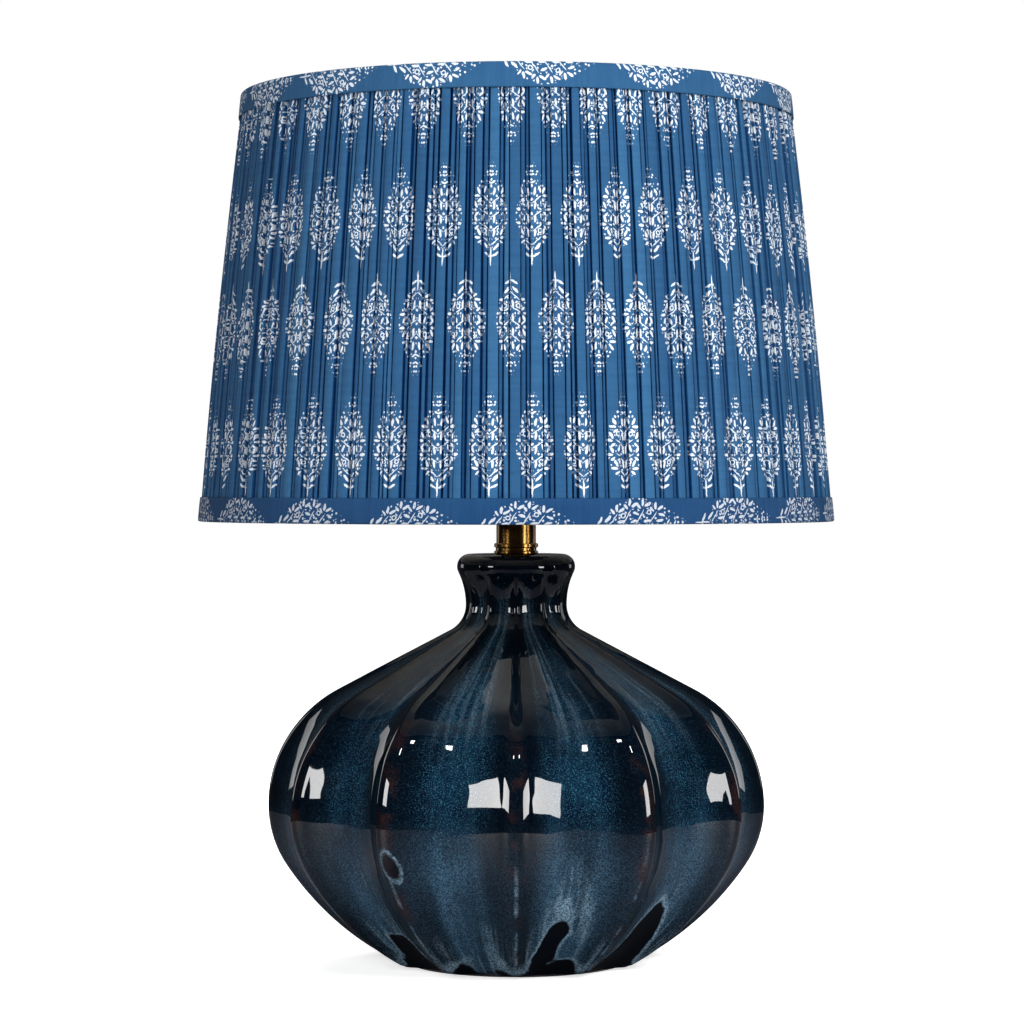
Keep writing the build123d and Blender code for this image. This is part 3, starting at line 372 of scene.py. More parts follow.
def sprig_group():
    """Block-printed sprigs in rows.

    Every other row is moved by a share of the spacing and, at turn 1, turned over.  The cloth is cut
    into cells; in a cell the sprig is mirrored about its stem, each shape is a stretched and turned circle,
    and the ink is where the nearest of them is closer than its edge.  Scattered seeds fill the almond
    outline wherever no leaf is near.
    """
    inputs = [("Cloth", "Vector"), ("Shift", "Float"), ("Turn", "Float")]
    g, given, result = new_group("Printed sprigs", inputs, [("Ink", "Float")])
    wobble = g.add("ShaderNodeTexNoise", out="Color",
                   feeds={"Vector": given["Cloth"], "Scale": 500.0, "Detail": 1.0})
    cloth = g.add("ShaderNodeVectorMath", operation="MULTIPLY_ADD",
                  feeds={0: wobble, 1: (PRINT_WOBBLE,) * 3, 2: given["Cloth"]})
    x, y, _ = g.parts(cloth)
    level = g.math("DIVIDE", y, SPRIG_ROW)
    row = g.math("FLOOR", level)
    odd = g.math("FLOORED_MODULO", row, 2.0)
    across = g.plus(g.math("DIVIDE", x, SPRIG_SPACING), g.times(odd, given["Shift"]))
    side = g.minus(g.minus(across, g.math("FLOOR", across)), 0.5)
    rise = g.minus(g.minus(level, row), 0.5)
    upright = g.line(g.times(odd, given["Turn"]), -2.0, 1.0)
    half = g.math("ABSOLUTE", g.times(side, SPRIG_SPACING / SPRIG_HEIGHT))
    height = g.times(rise, upright, SPRIG_ROW / SPRIG_HEIGHT)
    point = g.joined(half, height)
    nearest = 9.0
    for middle_x, middle_y, long, broad, tilt, outline in sprig_shapes():
        local = g.add("ShaderNodeMapping", vector_type="TEXTURE",
                      feeds={"Vector": point, "Location": (middle_x, middle_y, 0),
                             "Scale": (long, broad, 1), "Rotation": (0, 0, math.radians(tilt))})
        away = g.length(local)
        if outline:
            away = g.times(g.math("ABSOLUTE", g.minus(away, 1.0)), long / INK_LINE)
        nearest = g.math("MINIMUM", nearest, away)
    ink = g.ramp(nearest, *INK_EDGE)
    share = g.math("DIVIDE", g.minus(height, ALMOND_FOOT), ALMOND_HEIGHT)
    leant = g.math("POWER", g.most(share, 0.0), ALMOND_LEAN)
    bulge = g.times(g.math("SINE", g.times(leant, math.pi)), ALMOND_BREADTH)
    inside = g.times(g.ramp(g.minus(half, bulge), 0.012, 0.004), g.ramp(share, 1.04, 1.0))
    scatter = g.add("ShaderNodeTexVoronoi", out="Distance", voronoi_dimensions="2D",
                    feeds={"Vector": point, "Scale": 1 / SEED_SPACING, "Randomness": 0.62})
    seed = g.ramp(g.times(scatter, SEED_SPACING / SEED_RADIUS), *INK_EDGE)
    seeds = g.times(seed, inside, g.ramp(nearest, 1.75, 2.1))
    patchy = g.ramp(g.noise(given["Cloth"], 900.0), 0.22, 0.42)
    g.feed(result["Ink"], g.times(g.most(ink, seeds), patchy))


def weave_group():
    """Plain weave: fine threads both ways, each a noise drawn out along its thread, with thicker slubs."""
    outputs = [("Height", "Float"), ("Shade", "Float")]
    g, given, result = new_group("Cotton weave", [("Cloth", "Vector")], outputs)
    warp = g.noise(given["Cloth"], (3200, 260, 1), 1.0)
    weft = g.noise(given["Cloth"], (260, 3200, 1), 1.0)
    threads = g.most(warp, weft)
    slub = g.noise(given["Cloth"], (26, 420, 1))
    g.feed(result["Height"], threads)
    g.feed(result["Shade"], g.plus(g.times(threads, 0.5), g.times(slub, 0.5)))


def grain_group():
    """Surface grain of moulded, cast and plated pieces: cloudy tone, fine grain and small scratches."""
    g, given, result = new_group("Surface grain", [("Place", "Vector"), ("Scale", "Float")],
                                 [("Cloud", "Float"), ("Grain", "Float"), ("Scratch", "Float")])
    sized = g.add("ShaderNodeVectorMath", operation="SCALE", feeds={0: given["Place"], 3: given["Scale"]})
    g.feed(result["Cloud"], g.noise(sized, 60.0, 3.0, 0.55))
    g.feed(result["Grain"], g.noise(sized, 1400.0, 2.0, 0.6))
    lines = g.noise(sized, (300, 300, 4000), 2.0, 0.6)
    g.feed(result["Scratch"], g.ramp(lines, 0.60, 0.72))


def make_groups():
    """Builds the shared effects once."""
    sprig_group()
    weave_group()
    grain_group()


# Meshes

def grid_mesh(name, points, closed=(False, False), uv=None, keep=None, tone=None):
    """Object from a grid of points, rows by columns, wrapped along either way.

    Each cell of the grid is one face.  uv has a value at every grid line, keep drops single faces and tone
    gives each point the painted shade of the folds, which the material reads.
    """
    rows, columns = points.shape[:2]
    row_cells = rows if closed[0] else rows - 1
    column_cells = columns if closed[1] else columns - 1
    row, column = np.meshgrid(np.arange(row_cells), np.arange(column_cells), indexing="ij")
    cell = ((row, column), (row, column + 1), (row + 1, column + 1), (row + 1, column))
    corners = np.stack([np.stack(corner, -1) for corner in cell], 2).reshape(-1, 4, 2)
    if keep is not None:
        corners = corners[keep.reshape(-1)]
    faces = (corners[..., 0] % rows) * columns + corners[..., 1] % columns
    mesh = bpy.data.meshes.new(name)
    mesh.from_pydata(points.reshape(-1, 3), [], faces.tolist())
    if uv is not None:
        layer = mesh.uv_layers.new(name="UVMap")
        layer.uv.foreach_set("vector", uv[corners[..., 0], corners[..., 1]].astype(np.float32).ravel())
    if tone is not None:
        values = np.broadcast_to(tone, points.shape[:2]).astype(np.float32)
        mesh.attributes.new(PAINTED_FOLD_SHADE, "FLOAT", "POINT").data.foreach_set("value", values.ravel())
    mesh.polygons.foreach_set("use_smooth", np.full(len(faces), True))
    mesh.update()
    piece = bpy.data.objects.new(name, mesh)
    bpy.context.scene.collection.objects.link(piece)
    return piece


@contextmanager
def opened(piece):
    """The mesh of a piece, opened for work on its points and edges and put back after it."""
    shape = bmesh.new()
    shape.from_mesh(piece.data)
    yield shape
    shape.to_mesh(piece.data)
    shape.free()


def close_poles(piece):
    """Joins the points that meet in a pole."""
    with opened(piece) as shape:
        bmesh.ops.remove_doubles(shape, verts=shape.verts, dist=0.001 * MM)


def line_hole(piece):
    """Joins the two rims of a hole through a wall by a tube of faces."""
    with opened(piece) as shape:
        bmesh.ops.bridge_loops(shape, edges=[edge for edge in shape.edges if edge.is_boundary])


def dress(piece, material, body, slot, *nodes):
    """Gives a new piece its material and the body it rides on, and hides the nodes that it stands for; slot
    is not used.
    """
    piece.data.materials.append(material)
    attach(piece, body)
    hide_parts(*nodes)


def spun(radius, angle, z):
    """Points from a radius, an angle from the front and a height, which broadcast together."""
    radius, angle, z = np.broadcast_arrays(radius, angle, z)
    return np.stack([radius * np.sin(angle), -radius * np.cos(angle), z], -1)


def columns_round(count, start=0.0):
    """Angles of evenly spaced columns, once round from the start."""
    return start + np.arange(count) * TURN / count


def lapped(angle, sharpness, power):
    """Swelling from 0 to 1 at the back, where the ends of a strip overlap."""
    return np.clip(1 - np.abs(np.sin((angle - math.pi) / 2)) * sharpness, 0, 1) ** power


def arc(centre, radius, first, last, count):
    """Points of a round in the (radius, height) plane between two angles in radians."""
    angle = np.linspace(first, last, count)
    return np.stack([centre[0] + radius * np.cos(angle), centre[1] + radius * np.sin(angle)], -1)


def rib_profile():
    """Rib line from foot to lip as (radius, height, fade of the flutes).

    Rounds that meet smoothly: a large one from the foot, two round the belly, a straight shoulder that
    touches belly and neck, the hollow neck, the hollow under the lip and the roll of the lip.
    """
    across = NECK_RADIUS + NECK_ROUND - (BELLY_RADIUS - UPPER_BELLY_ROUND)
    up = WAIST_Z - BELLY_Z
    lean = math.acos((UPPER_BELLY_ROUND + NECK_ROUND) / math.hypot(across, up))
    shoulder = math.atan2(up, across) - lean
    lower = arc((BELLY_RADIUS - LOWER_BELLY_ROUND, BELLY_Z), LOWER_BELLY_ROUND, -LOWER_BELLY_TURN, 0,
                LOWER_BELLY_ROWS)
    upper = arc((BELLY_RADIUS - UPPER_BELLY_ROUND, BELLY_Z), UPPER_BELLY_ROUND, 0, shoulder,
                UPPER_BELLY_ROWS)
    chord = lower[0] - np.array([FOOT_RADIUS, FOOT_Z])
    half_turn = math.atan2(chord[0], chord[1]) - LOWER_BELLY_TURN
    foot_round = np.hypot(*chord) / (2 * math.sin(half_turn))
    centre = lower[0] - foot_round * np.array([math.cos(LOWER_BELLY_TURN), -math.sin(LOWER_BELLY_TURN)])
    foot = arc(centre, foot_round, -LOWER_BELLY_TURN - 2 * half_turn, -LOWER_BELLY_TURN, FOOT_ROWS)
    neck = arc((NECK_RADIUS + NECK_ROUND, WAIST_Z), NECK_ROUND, math.pi + shoulder, math.pi,
               NECK_ROWS)
    slope = np.linspace(upper[-1], neck[0], SHOULDER_ROWS)
    out = LIP_RADIUS - NECK_RADIUS
    rise = BODY_TOP - LIP_ROUND - WAIST_Z
    turn = 2 * math.atan(out / rise)
    hollow = rise / math.sin(turn) - LIP_ROUND
    flare = arc((NECK_RADIUS + hollow, WAIST_Z), hollow, math.pi, math.pi - turn, FLARE_ROWS)
    roll = arc((LIP_RADIUS - LIP_ROUND, BODY_TOP - LIP_ROUND), LIP_ROUND, -turn, math.pi / 2, LIP_ROWS)
    fluted = np.concatenate([foot[:-1], lower[:-1], upper[:-1], slope[:-1], neck[:-1]])
    line = np.concatenate([fluted, flare[:-1], roll])
    fading = 1 - np.linspace(0, 1, len(flare) - 1) ** 2
    fade = np.concatenate([np.ones(len(fluted)), fading, np.zeros(len(roll))])
    return np.column_stack([line, fade])


def flute_shape(angle):
    """Radius over the ribs' radius at an angle from the front: round crests joined by hollow flutes.

    Both are circles.  A ray at the angle meets the crest's circle on its far side and the flute's circle,
    whose middle lies outside, on its near side; they touch where the crest hands over to the flute.
    """
    half = math.pi / RIB_COUNT
    off = np.abs((angle / (2 * half) + 0.5) % 1 - 0.5) * 2 * half
    crest = 1 - CREST_SHARE
    reach = 1 - FLUTE_SHARE - crest * math.cos(half)
    side = crest * math.sin(half)
    hollow = (CREST_SHARE**2 - reach**2 - side**2) / (2 * (reach - CREST_SHARE))
    middle = 1 - FLUTE_SHARE + hollow
    away = np.array([middle - crest * math.cos(half), -side])
    join = np.array([crest * math.cos(half), side]) + away * CREST_SHARE / np.hypot(*away)
    join_off = half - math.atan2(join[1], join[0])
    on_crest = crest * np.cos(off) + np.sqrt(np.maximum(CREST_SHARE**2 - (crest * np.sin(off)) ** 2, 0))
    turned = half - off
    on_flute = middle * np.cos(turned) - np.sqrt(np.maximum(hollow**2 - (middle * np.sin(turned)) ** 2, 0))
    return np.where(off < join_off, on_crest, on_flute)


def inner_profile(line):
    """The wall's inside, from the opening in the foot up to the bore of the neck and the hole in the deck."""
    step = np.gradient(line[:, :2], axis=0)
    normal = np.stack([step[:, 1], -step[:, 0]], -1) / np.hypot(step[:, 0], step[:, 1])[:, None]
    inside = line[:, :2] - WALL * normal
    fits = (inside[:, 1] > FOOT_Z + 1.2 * WALL) & (line[:, 1] < WAIST_Z) & (inside[:, 0] > NECK_BORE)
    # inside, every fourth row is enough
    inside = inside[fits][::4]
    deck = BODY_TOP - DECK_THICKNESS
    foot = [[FOOT_OPENING, FOOT_Z], [FOOT_OPENING, FOOT_Z + WALL]]
    neck = [[NECK_BORE, WAIST_Z], [NECK_BORE, deck], [NIPPLE_HOLE, deck], [NIPPLE_HOLE, BODY_TOP]]
    return np.concatenate([foot, inside, neck])


def glazed_body(settings):
    """Wall of the body: the rib line turned about Z, drawn in between the ribs, with slow hand-made waves.

    The outside runs up from the foot, over the lip and the deck, and back down inside, as one closed wall.
    Returns its points and the faces to leave out where the cord's bushing passes through.
    """
    angle = columns_round(RIB_COUNT * RIB_COLUMNS)
    line = rib_profile()
    edge = arc((line[0, 0] - FOOT_EDGE, FOOT_Z + FOOT_EDGE), FOOT_EDGE, -math.pi / 2, -0.6, 5)
    outer = np.concatenate([np.column_stack([edge, np.ones(len(edge))]), line[1:]])
    inner = inner_profile(line)
    # inside, the flutes are a little shallower, and the foot's opening and the neck are round
    fade = np.where(inner[:, 1] < WAIST_Z - 1 * MM, 0.9, 0.0)
    fade[:2] = 0.0
    # the inside is listed from the deck's hole down to the foot, so that the outline closes
    outline = np.concatenate([outer, np.column_stack([inner, fade])[::-1]])
    radius = outline[:, 0:1] * (1 + outline[:, 2:3] * (flute_shape(angle)[None, :] - 1))
    z = outline[:, 1:2]
    wave = (np.sin(3 * angle + 41 * z) + np.sin(7 * angle - 63 * z + 1.3) + np.sin(17 * angle + 90 * z + 0.7)
            + np.sin(5 * angle + 120 * z + 2.1) + 0.7 * np.sin(29 * angle - 55 * z))
    damp = np.clip((z - FOOT_Z) / (12 * MM), 0, 1) * np.clip((BODY_TOP - z) / (20 * MM), 0, 1)
    points = spun(radius + settings.waviness * 0.4 * wave * damp, angle[None, :], z)
    low, high = (np.array(corner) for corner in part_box(CORD_BUSHING))
    bushing = (low + high) / 2
    out = bushing[:2] / np.hypot(*bushing[:2])
    next_row = np.roll(points, -1, 0)
    offset = (points + next_row + np.roll(points, -1, 1) + np.roll(next_row, -1, 1)) / 4 - bushing
    along = offset[..., 0] * out[0] + offset[..., 1] * out[1]
    beside = offset[..., 0] * out[1] - offset[..., 1] * out[0]
    return points, (np.abs(along) < HOLE_REACH) & (np.hypot(beside, offset[..., 2]) < HOLE_RADIUS)


def pleated_cover(settings):
    """Gathered cloth: wide flats with one or two narrow folds between them, parted by deep gaps with painted
    shade.

    Each fold is a row of corners across the cloth: up the gap's wall, over a rounded edge, across its
    slightly crowned face, over the other edge and down into the next gap, whose floor runs a little under
    both folds.  The corners keep their angle from rim to rim, so the folds narrow upwards, and they wander
    a little on the way.
    """
    rng = np.random.default_rng(SEED)
    narrow = rng.integers(1, 3, settings.pleats)
    wide_at = np.concatenate([[0], np.cumsum(narrow + 1)[:-1]])
    count = int((narrow + 1).sum())
    level = np.linspace(0, 1, COVER_LEVELS)[:, None]
    z = COVER_LOW.z + (COVER_HIGH.z - COVER_LOW.z) * level
    radius = shade_radius(z, COVER_INSET) + settings.bow * 4 * level * (1 - level)
    # breadths of faces and gaps, which are then scaled to fill one turn
    face = rng.uniform(*NARROW_FACE, count) * MM
    face[wide_at] = rng.uniform(*WIDE_FACE, settings.pleats) * MM
    gap = settings.slit * rng.uniform(0.35, 1.9, count)
    share = TURN / (face.sum() + gap.sum())
    start = math.pi + np.concatenate([[0], np.cumsum(face + gap)[:-1]]) * share

    def wander(size):
        """Slow sideways leaning and swaying of an edge on its way up, as an angle."""
        lean = rng.uniform(-1, 1, count) * (level - 0.5)
        sway = np.sin(TURN * (level * rng.uniform(0.5, 1.4, count) + rng.uniform(0, 1, count)))
        return size * (1.1 * lean + 0.4 * sway) / radius

    left = start + wander(0.30 * MM)
    left[:, 0] = start[0]
    right = start + face * share + wander(0.26 * MM)
    following = np.roll(left, -1, 1)
    following[:, -1] += TURN
    right = np.clip(right, left + 0.75 * face * share, following - 0.3 * gap * share)

    def depth(low, high):
        """Random depth of each fold between two values in millimetres, which changes slowly on the way up."""
        slow = np.sin(TURN * (level * rng.uniform(0.3, 0.9, count) + rng.uniform(0, 1, count)))
        return (rng.uniform(low, high, count) + 0.15 * slow * (high - low)) * MM

    sunk = rng.uniform(*SUNK_FACE, count) * MM
    sunk[wide_at] = 0.0
    face_left = sunk + depth(0.0, 0.55)
    face_right = sunk + depth(0.0, 0.55)
    floor = settings.depth + depth(0.0, 0.5)
    edge = FOLD_EDGE / radius
    under = np.minimum(FOLD_TUCK / radius, 0.35 * (right - left))
    under_next = np.roll(under, -1, 1)
    middle = (left + right) / 2
    rows = [
        (left, face_left + 0.40 * MM),
        (left + 0.3 * edge, face_left + 0.12 * MM),
        (left + edge, face_left),
        (middle, (face_left + face_right) / 2 - 0.06 * MM),
        (right - edge, face_right),
        (right - 0.3 * edge, face_right + 0.12 * MM),
        (right, face_right + 0.40 * MM),
        (right - under, floor),
        (following + under_next, floor),
    ]
    lost = settings.hidden * rng.uniform(0.4, 1.6, count)
    width = face + lost
    # where each corner lies on the flat cloth: seven over the face, two in the part that the gap hides
    print_at = np.concatenate([[0], np.cumsum(width)[:-1]])[:, None]
    on_face = print_at + face[:, None] * np.array([0, 0.02, 0.06, 0.5, 0.94, 0.98, 1])
    in_gap = print_at + face[:, None] + lost[:, None] * (0.35, 0.65)
    across = np.append(np.concatenate([on_face, in_gap], 1).ravel(), width.sum())
    angle = np.stack([np.broadcast_to(a, left.shape) for a, _ in rows], -1).reshape(len(level), -1)
    inwards = np.stack([np.broadcast_to(d, left.shape) for _, d in rows], -1).reshape(len(level), -1)
    points = spun(radius - inwards, angle, z)
    run = np.linalg.norm(np.roll(points, -1, 1) - points, axis=2).sum(1)
    slant = np.hypot(COVER_HIGH.z - COVER_LOW.z, radius[0, 0] - radius[-1, 0])
    along = (z - COVER_LOW.z).ravel() * slant / (COVER_HIGH.z - COVER_LOW.z) - SPRIG_START
    uv = np.stack(np.broadcast_arrays(across[None, :], along[:, None]), -1)
    # faces differ in tone at random; shade is painted on sunken folds and fold edges, darkest in the gaps
    face_tone_and_shade = np.clip(rng.uniform(0.60, 1.0, count) - 0.46 * sunk / (SUNK_FACE[1] * MM), 0.08, 1)
    tone = (face_tone_and_shade[:, None] * (0.55, 0.85, 1.0, 1.0, 0.92, 0.75, 0.45, 0.0, 0.0)).ravel()
    return points, uv, tone, (run.mean(), slant)


def trim_band(edge, away, seed):
    """Binding folded over a ring: hem, outer wall, rounded fold and inner wall, turned about Z.

    edge is the height of its fold, away is 1 for the lower trim and -1 for the upper one.  The outer wall
    shows the pleats under it as a faint ripple, and the ends of the strip overlap at the back.
    """
    rng = np.random.default_rng(seed)
    tall = TRIM_HEIGHT
    # inset in millimetres and height above the fold in metres, from the hem to the inner edge
    profile = np.array([
        (0.55, tall - 4 * MM), (0.52, tall - 0.35 * MM), (0.28, tall - 0.02 * MM),
        (0.06, tall - 0.40 * MM), (0.02, tall - 1.5 * MM), (-0.02, tall * 0.7), (-0.03, tall * 0.5),
        (0.0, tall * 0.3), (0.03, 1.4 * MM),
        (0.14, 0.62 * MM), (0.45, 0.20 * MM), (1.0, 0.03 * MM), (2.4, 0.0), (4.4, 0.0), (6.4, 0.0),
        (7.7, 0.03 * MM), (8.3, 0.2 * MM), (8.62, 0.62 * MM), (8.74, 1.4 * MM), (8.75, tall * 0.4),
        (8.72, tall * 0.7), (8.70, tall - 1.0 * MM), (8.55, tall - 0.3 * MM),
    ])
    angle = columns_round(TRIM_COLUMNS, math.pi)
    z = edge + away * profile[:, 1:2]
    wall = np.exp(-(profile[:, 0:1] / 1.2) ** 2)
    waves = (37, 61, 83, 118, 124, 9, 5)
    ripple = sum(rng.uniform(0.3, 1) * np.sin(count * angle + rng.uniform(0, TURN)) for count in waves)
    lap = lapped(angle, 46, 0.3)
    radius = shade_radius(z, profile[:, 0:1] * MM) + wall * (0.020 * MM * ripple + 0.18 * MM * lap)
    points = spun(np.minimum(radius, shade_radius(z, -0.3 * MM)), angle[None, :], z)
    run = np.hypot(np.diff(profile[:, 0] * MM), np.diff(profile[:, 1]))
    across = np.concatenate([[0], np.cumsum(run)])
    length = TURN * shade_radius(edge + away * tall / 2, 0)
    along = np.linspace(0, length, len(angle) + 1)
    uv = np.stack(np.broadcast_arrays(across[:, None], along[None, :]), -1)
    if away > 0:
        points, uv = points[::-1], uv[::-1]
    return points, uv, (across[-1], length)


def lining_wall():
    """Stiff lining: a closed thin wall on the cone inside the frame, with its ends lapped at the back."""
    low, high = LINING_LOW.z + 0.3 * MM, LINING_HIGH.z - 0.8 * MM
    z = np.linspace(low, high, 9)[:, None]
    angle = columns_round(LINING_COLUMNS, math.pi)
    lap = lapped(angle, 30, 0.4) * 0.25 * MM
    outside = spun(shade_radius(z, LINING_INSET), angle[None, :], z)
    inside = spun(shade_radius(z, LINING_INSET + LINING_WALL) - lap[None, :], angle[None, :], z)
    slant = math.hypot(high - low, shade_radius(low, 0) - shade_radius(high, 0))
    area = TURN * shade_radius((low + high) / 2, LINING_INSET) * slant
    return np.concatenate([outside, inside[::-1]]), slant, area


def felt_disc():
    """Felt under the foot: a flat disc whose edge is softly rounded and a little uneven."""
    radius = (FELT_HIGH.x - FELT_LOW.x) / 2
    angle = columns_round(FELT_COLUMNS)
    edge = 1 + 0.002 * np.sin(7 * angle + 0.4) + 0.0015 * np.sin(19 * angle)
    # outline from the middle of the underside to the middle of the top, as shares of radius and thickness
    section = np.array([(0.0, 0.0), (0.3, 0.0), (0.6, 0.0), (0.9, 0.0), (0.985, 0.0), (0.994, 0.2),
                        (0.997, 0.5), (0.994, 0.8), (0.985, 1.0), (0.6, 1.0), (0.0, 1.0)])
    reach = radius * section[:, 0:1] * np.minimum(edge, 1.002)[None, :]
    return spun(reach, angle[None, :], FOOT_Z * section[:, 1:2]), math.pi * radius**2


# Finishes

def glaze_edge(g, place, level, off_rib):
    """Noise of the arches, and how far a place is above the upper glaze's edge and from the bare spot.

    Both are roughly shares of the body's height.  The edge lies near the foot, rises in arches between the
    ribs and is ragged, and the glaze has crawled back from one spot beside a rib.
    """
    arch = g.noise(place, (21, 21, 7))
    ragged = g.minus(g.noise(place, (120, 120, 22), 2.0, 0.55), 0.5)
    arch_height = g.times(g.ramp(arch, 0.34, 0.60), g.ramp(off_rib, 0.05, 0.5), 0.19)
    above = g.minus(level, g.plus(arch_height, 0.012, g.times(ragged, 0.045)))
    spot = g.add("ShaderNodeMapping", vector_type="TEXTURE",
                 feeds={"Vector": place, "Location": CRAWL_PLACE, "Scale": CRAWL_SIZE,
                        "Rotation": CRAWL_TILT})
    crawl = g.plus(g.line(g.length(spot), 0.030, -0.030), g.times(ragged, 0.020))
    return arch, above, crawl


def glaze_material(settings):
    """Dark reactive glaze, poured over a black one.

    The angle about Z gives the place between rib and flute.  The upper blue glaze is flecked and ends near
    the foot in runs with a milky edge; it is thin and dark on the ribs, where the clay's rust shows, and
    the neck is black.
    """
    material, g, shader = new_material("dark_blue_glaze", Roughness=0.03, IOR=1.5, Specular_IOR_Level=0.32)
    place = g.place("Object")
    x, y, z = g.parts(place)
    turn = g.math("DIVIDE", g.math("ARCTAN2", x, g.times(y, -1.0)), TURN / RIB_COUNT)
    off_rib = g.math("PINGPONG", g.plus(turn, 40.0), 0.5)
    flute = g.ramp(off_rib, 0.11, 0.40)
    level = g.math("DIVIDE", z, BODY_TOP)
    arch, above, crawl = glaze_edge(g, place, level, off_rib)
    upper = g.ramp(g.math("MINIMUM", above, crawl), -0.006, 0.010)
    # the upper glaze runs down in streaks, and is thin on the ribs and the neck
    around = g.add("ShaderNodeVectorMath", feeds={0: g.joined(x, y)}, operation="NORMALIZE")
    meridian = g.add("ShaderNodeVectorMath", feeds={0: around, 1: g.joined(0.0, 0.0, level)}, operation="ADD")
    streak = g.noise(meridian, (26, 26, 4), 3.0, 0.6)
    drift = g.noise(meridian, (7, 7, 2), 3.0, 0.6, 0.3)
    cloud = g.noise(place, 30.0, 4.0, 0.6)
    patch = g.ramp(g.plus(g.times(cloud, 0.6), g.times(drift, 0.6)), 0.42, 0.80)
    thick = g.times(g.line(flute, 0.9, 0.1), g.line(patch, 0.75, 0.25), upper, g.ramp(level, 0.97, 0.74))
    colour = g.mix(thick, rgba(settings.deep), rgba(settings.blue))
    sand = g.noise(place, 1700.0, 3.0, 0.65)
    flecks = g.times(g.ramp(sand, 0.52, 0.70), g.line(thick, 0.80, 0.04))
    colour = g.mix(flecks, colour, rgba(settings.fleck))
    # lower down the glaze pools and turns milky and gritty
    grit = g.noise(place, 1050.0, 2.0, 0.7)
    pooled = g.times(g.ramp(level, 0.42, 0.22), upper, g.line(flute, 0.7, 0.3),
                     g.line(g.ramp(drift, 0.34, 0.66), 0.6, 0.4),
                     g.line(g.ramp(grit, 0.40, 0.66), 0.75, 0.17))
    colour = g.mix(pooled, colour, rgba(settings.pool))
    blotch = g.ramp(g.noise(place, 52.0, 3.0, 0.6), 0.46, 0.66)
    rust = g.times(g.ramp(off_rib, 0.10, 0.01), blotch, g.ramp(level, 0.70, 0.45), 0.4)
    colour = g.mix(rust, colour, rgba(settings.rust))
    # milky edge of the runs, feathered upwards, a pale line down each rib and thin runs below the neck
    feather = g.times(g.ramp(above, 0.13, 0.0), g.ramp(streak, 0.44, 0.70), 0.75)
    rim = g.times(g.ramp(above, 0.036, 0.004), g.ramp(arch, 0.30, 0.50))
    rim = g.times(g.most(rim, g.times(g.ramp(crawl, 0.013, 0.004), 0.7)), 0.95)
    rib_run = g.times(g.ramp(off_rib, 0.026, 0.0), g.ramp(level, 0.38, 0.14),
                      g.ramp(g.noise(place, 75.0), 0.38, 0.62), 0.7)
    neck_run = g.times(g.ramp(level, 0.93, 0.84), g.ramp(level, 0.50, 0.74), g.ramp(off_rib, 0.12, 0.40),
                       g.ramp(streak, 0.46, 0.72), 0.30)
    milk = g.times(g.most(feather, rim, rib_run, neck_run), upper,
                   g.line(g.ramp(grit, 0.40, 0.62), 0.85, 0.15))
    g.feed(shader["Base Color"], g.mix(milk, colour, rgba(settings.milk)))
    bump(g, shader, g.noise(place, 46.0, 1.0), 1.8 * MM, 0.40)
    return material


def cotton(g, shader, settings, cloth, ink, tone):
    """Printed cotton: ground and ink painted from shadow to light by tone, the ground a little thread by
    thread, and the ink over it.
    """
    weave = g.group("Cotton weave", Cloth=cloth)
    thread = g.mix(g.ramp(weave["Shade"], 0.30, 0.72), (0.80, 0.82, 0.86, 1), (1.12, 1.10, 1.08, 1))
    ground = g.mix(1.0, g.mix(tone, rgba(settings.shadow), rgba(settings.cloth)), thread, "MULTIPLY")
    lit = g.mix(tone, (0.30, 0.33, 0.38, 1), rgba(settings.ink))
    g.feed(shader["Base Color"], g.mix(g.times(ink, 0.96), ground, lit))
    bump(g, shader, weave["Height"], 0.06 * MM, 0.5)


def pleat_material(settings):
    """Printed cotton of the cover on its UV map, with shade painted darker into the folds by the tone of the
    mesh.
    """
    material, g, shader = new_material("printed_cotton", Roughness=0.9, Specular_IOR_Level=0.12)
    cloth = g.place("UV")
    ink = g.group("Printed sprigs", Cloth=cloth, Shift=0.5, Turn=1.0)["Ink"]
    # painted shade of the folds, written into the mesh by the cover
    tone = g.add("ShaderNodeAttribute", out="Fac", attribute_name=PAINTED_FOLD_SHADE)
    cotton(g, shader, settings, cloth, ink, tone)
    return material


def binding_material(settings):
    """The same cotton cut into strips, with the sprigs lying along the strip; shade is painted by height, so
    the lower one is the darker.
    """
    material, g, shader = new_material("printed_binding", Roughness=0.9, Specular_IOR_Level=0.12)
    cloth = g.place("UV")
    across, along, _ = g.parts(cloth)
    drift = g.times(g.math("SINE", g.times(along, 9.0)), 4.0 * MM)
    printed = g.joined(g.plus(across, drift, 1.5 * MM), along)
    ink = g.group("Printed sprigs", Cloth=printed, Shift=0.0, Turn=0.0)["Ink"]
    height = g.parts(g.place("Object"))[2]
    worn = g.noise(cloth, (90, 30, 1))
    # painted shade: darker lower down the shade, so the lower trim is darker than the upper, with random wear
    # on top
    tone = g.plus(g.ramp(height, SHADE_BASE_Z, SHADE_TOP_Z), g.times(worn, 0.5))
    cotton(g, shader, settings, cloth, ink, g.line(tone, 0.44, 0.20))
    return material


def felt_material():
    """Pressed wool felt: matted fibres in two tones."""
    material, g, shader = new_material("base_felt", Roughness=0.95, Sheen_Weight=0.3)
    place = g.place("Object")
    fibres = g.noise(place, 900.0, 4.0, 0.7, 1.5)
    tone = g.ramp(fibres, 0.3, 0.7)
    g.feed(shader["Base Color"], g.mix(tone, (0.006, 0.006, 0.008, 1), (0.028, 0.028, 0.034, 1)))
    bump(g, shader, fibres, 0.3 * MM, 0.8)
    return material


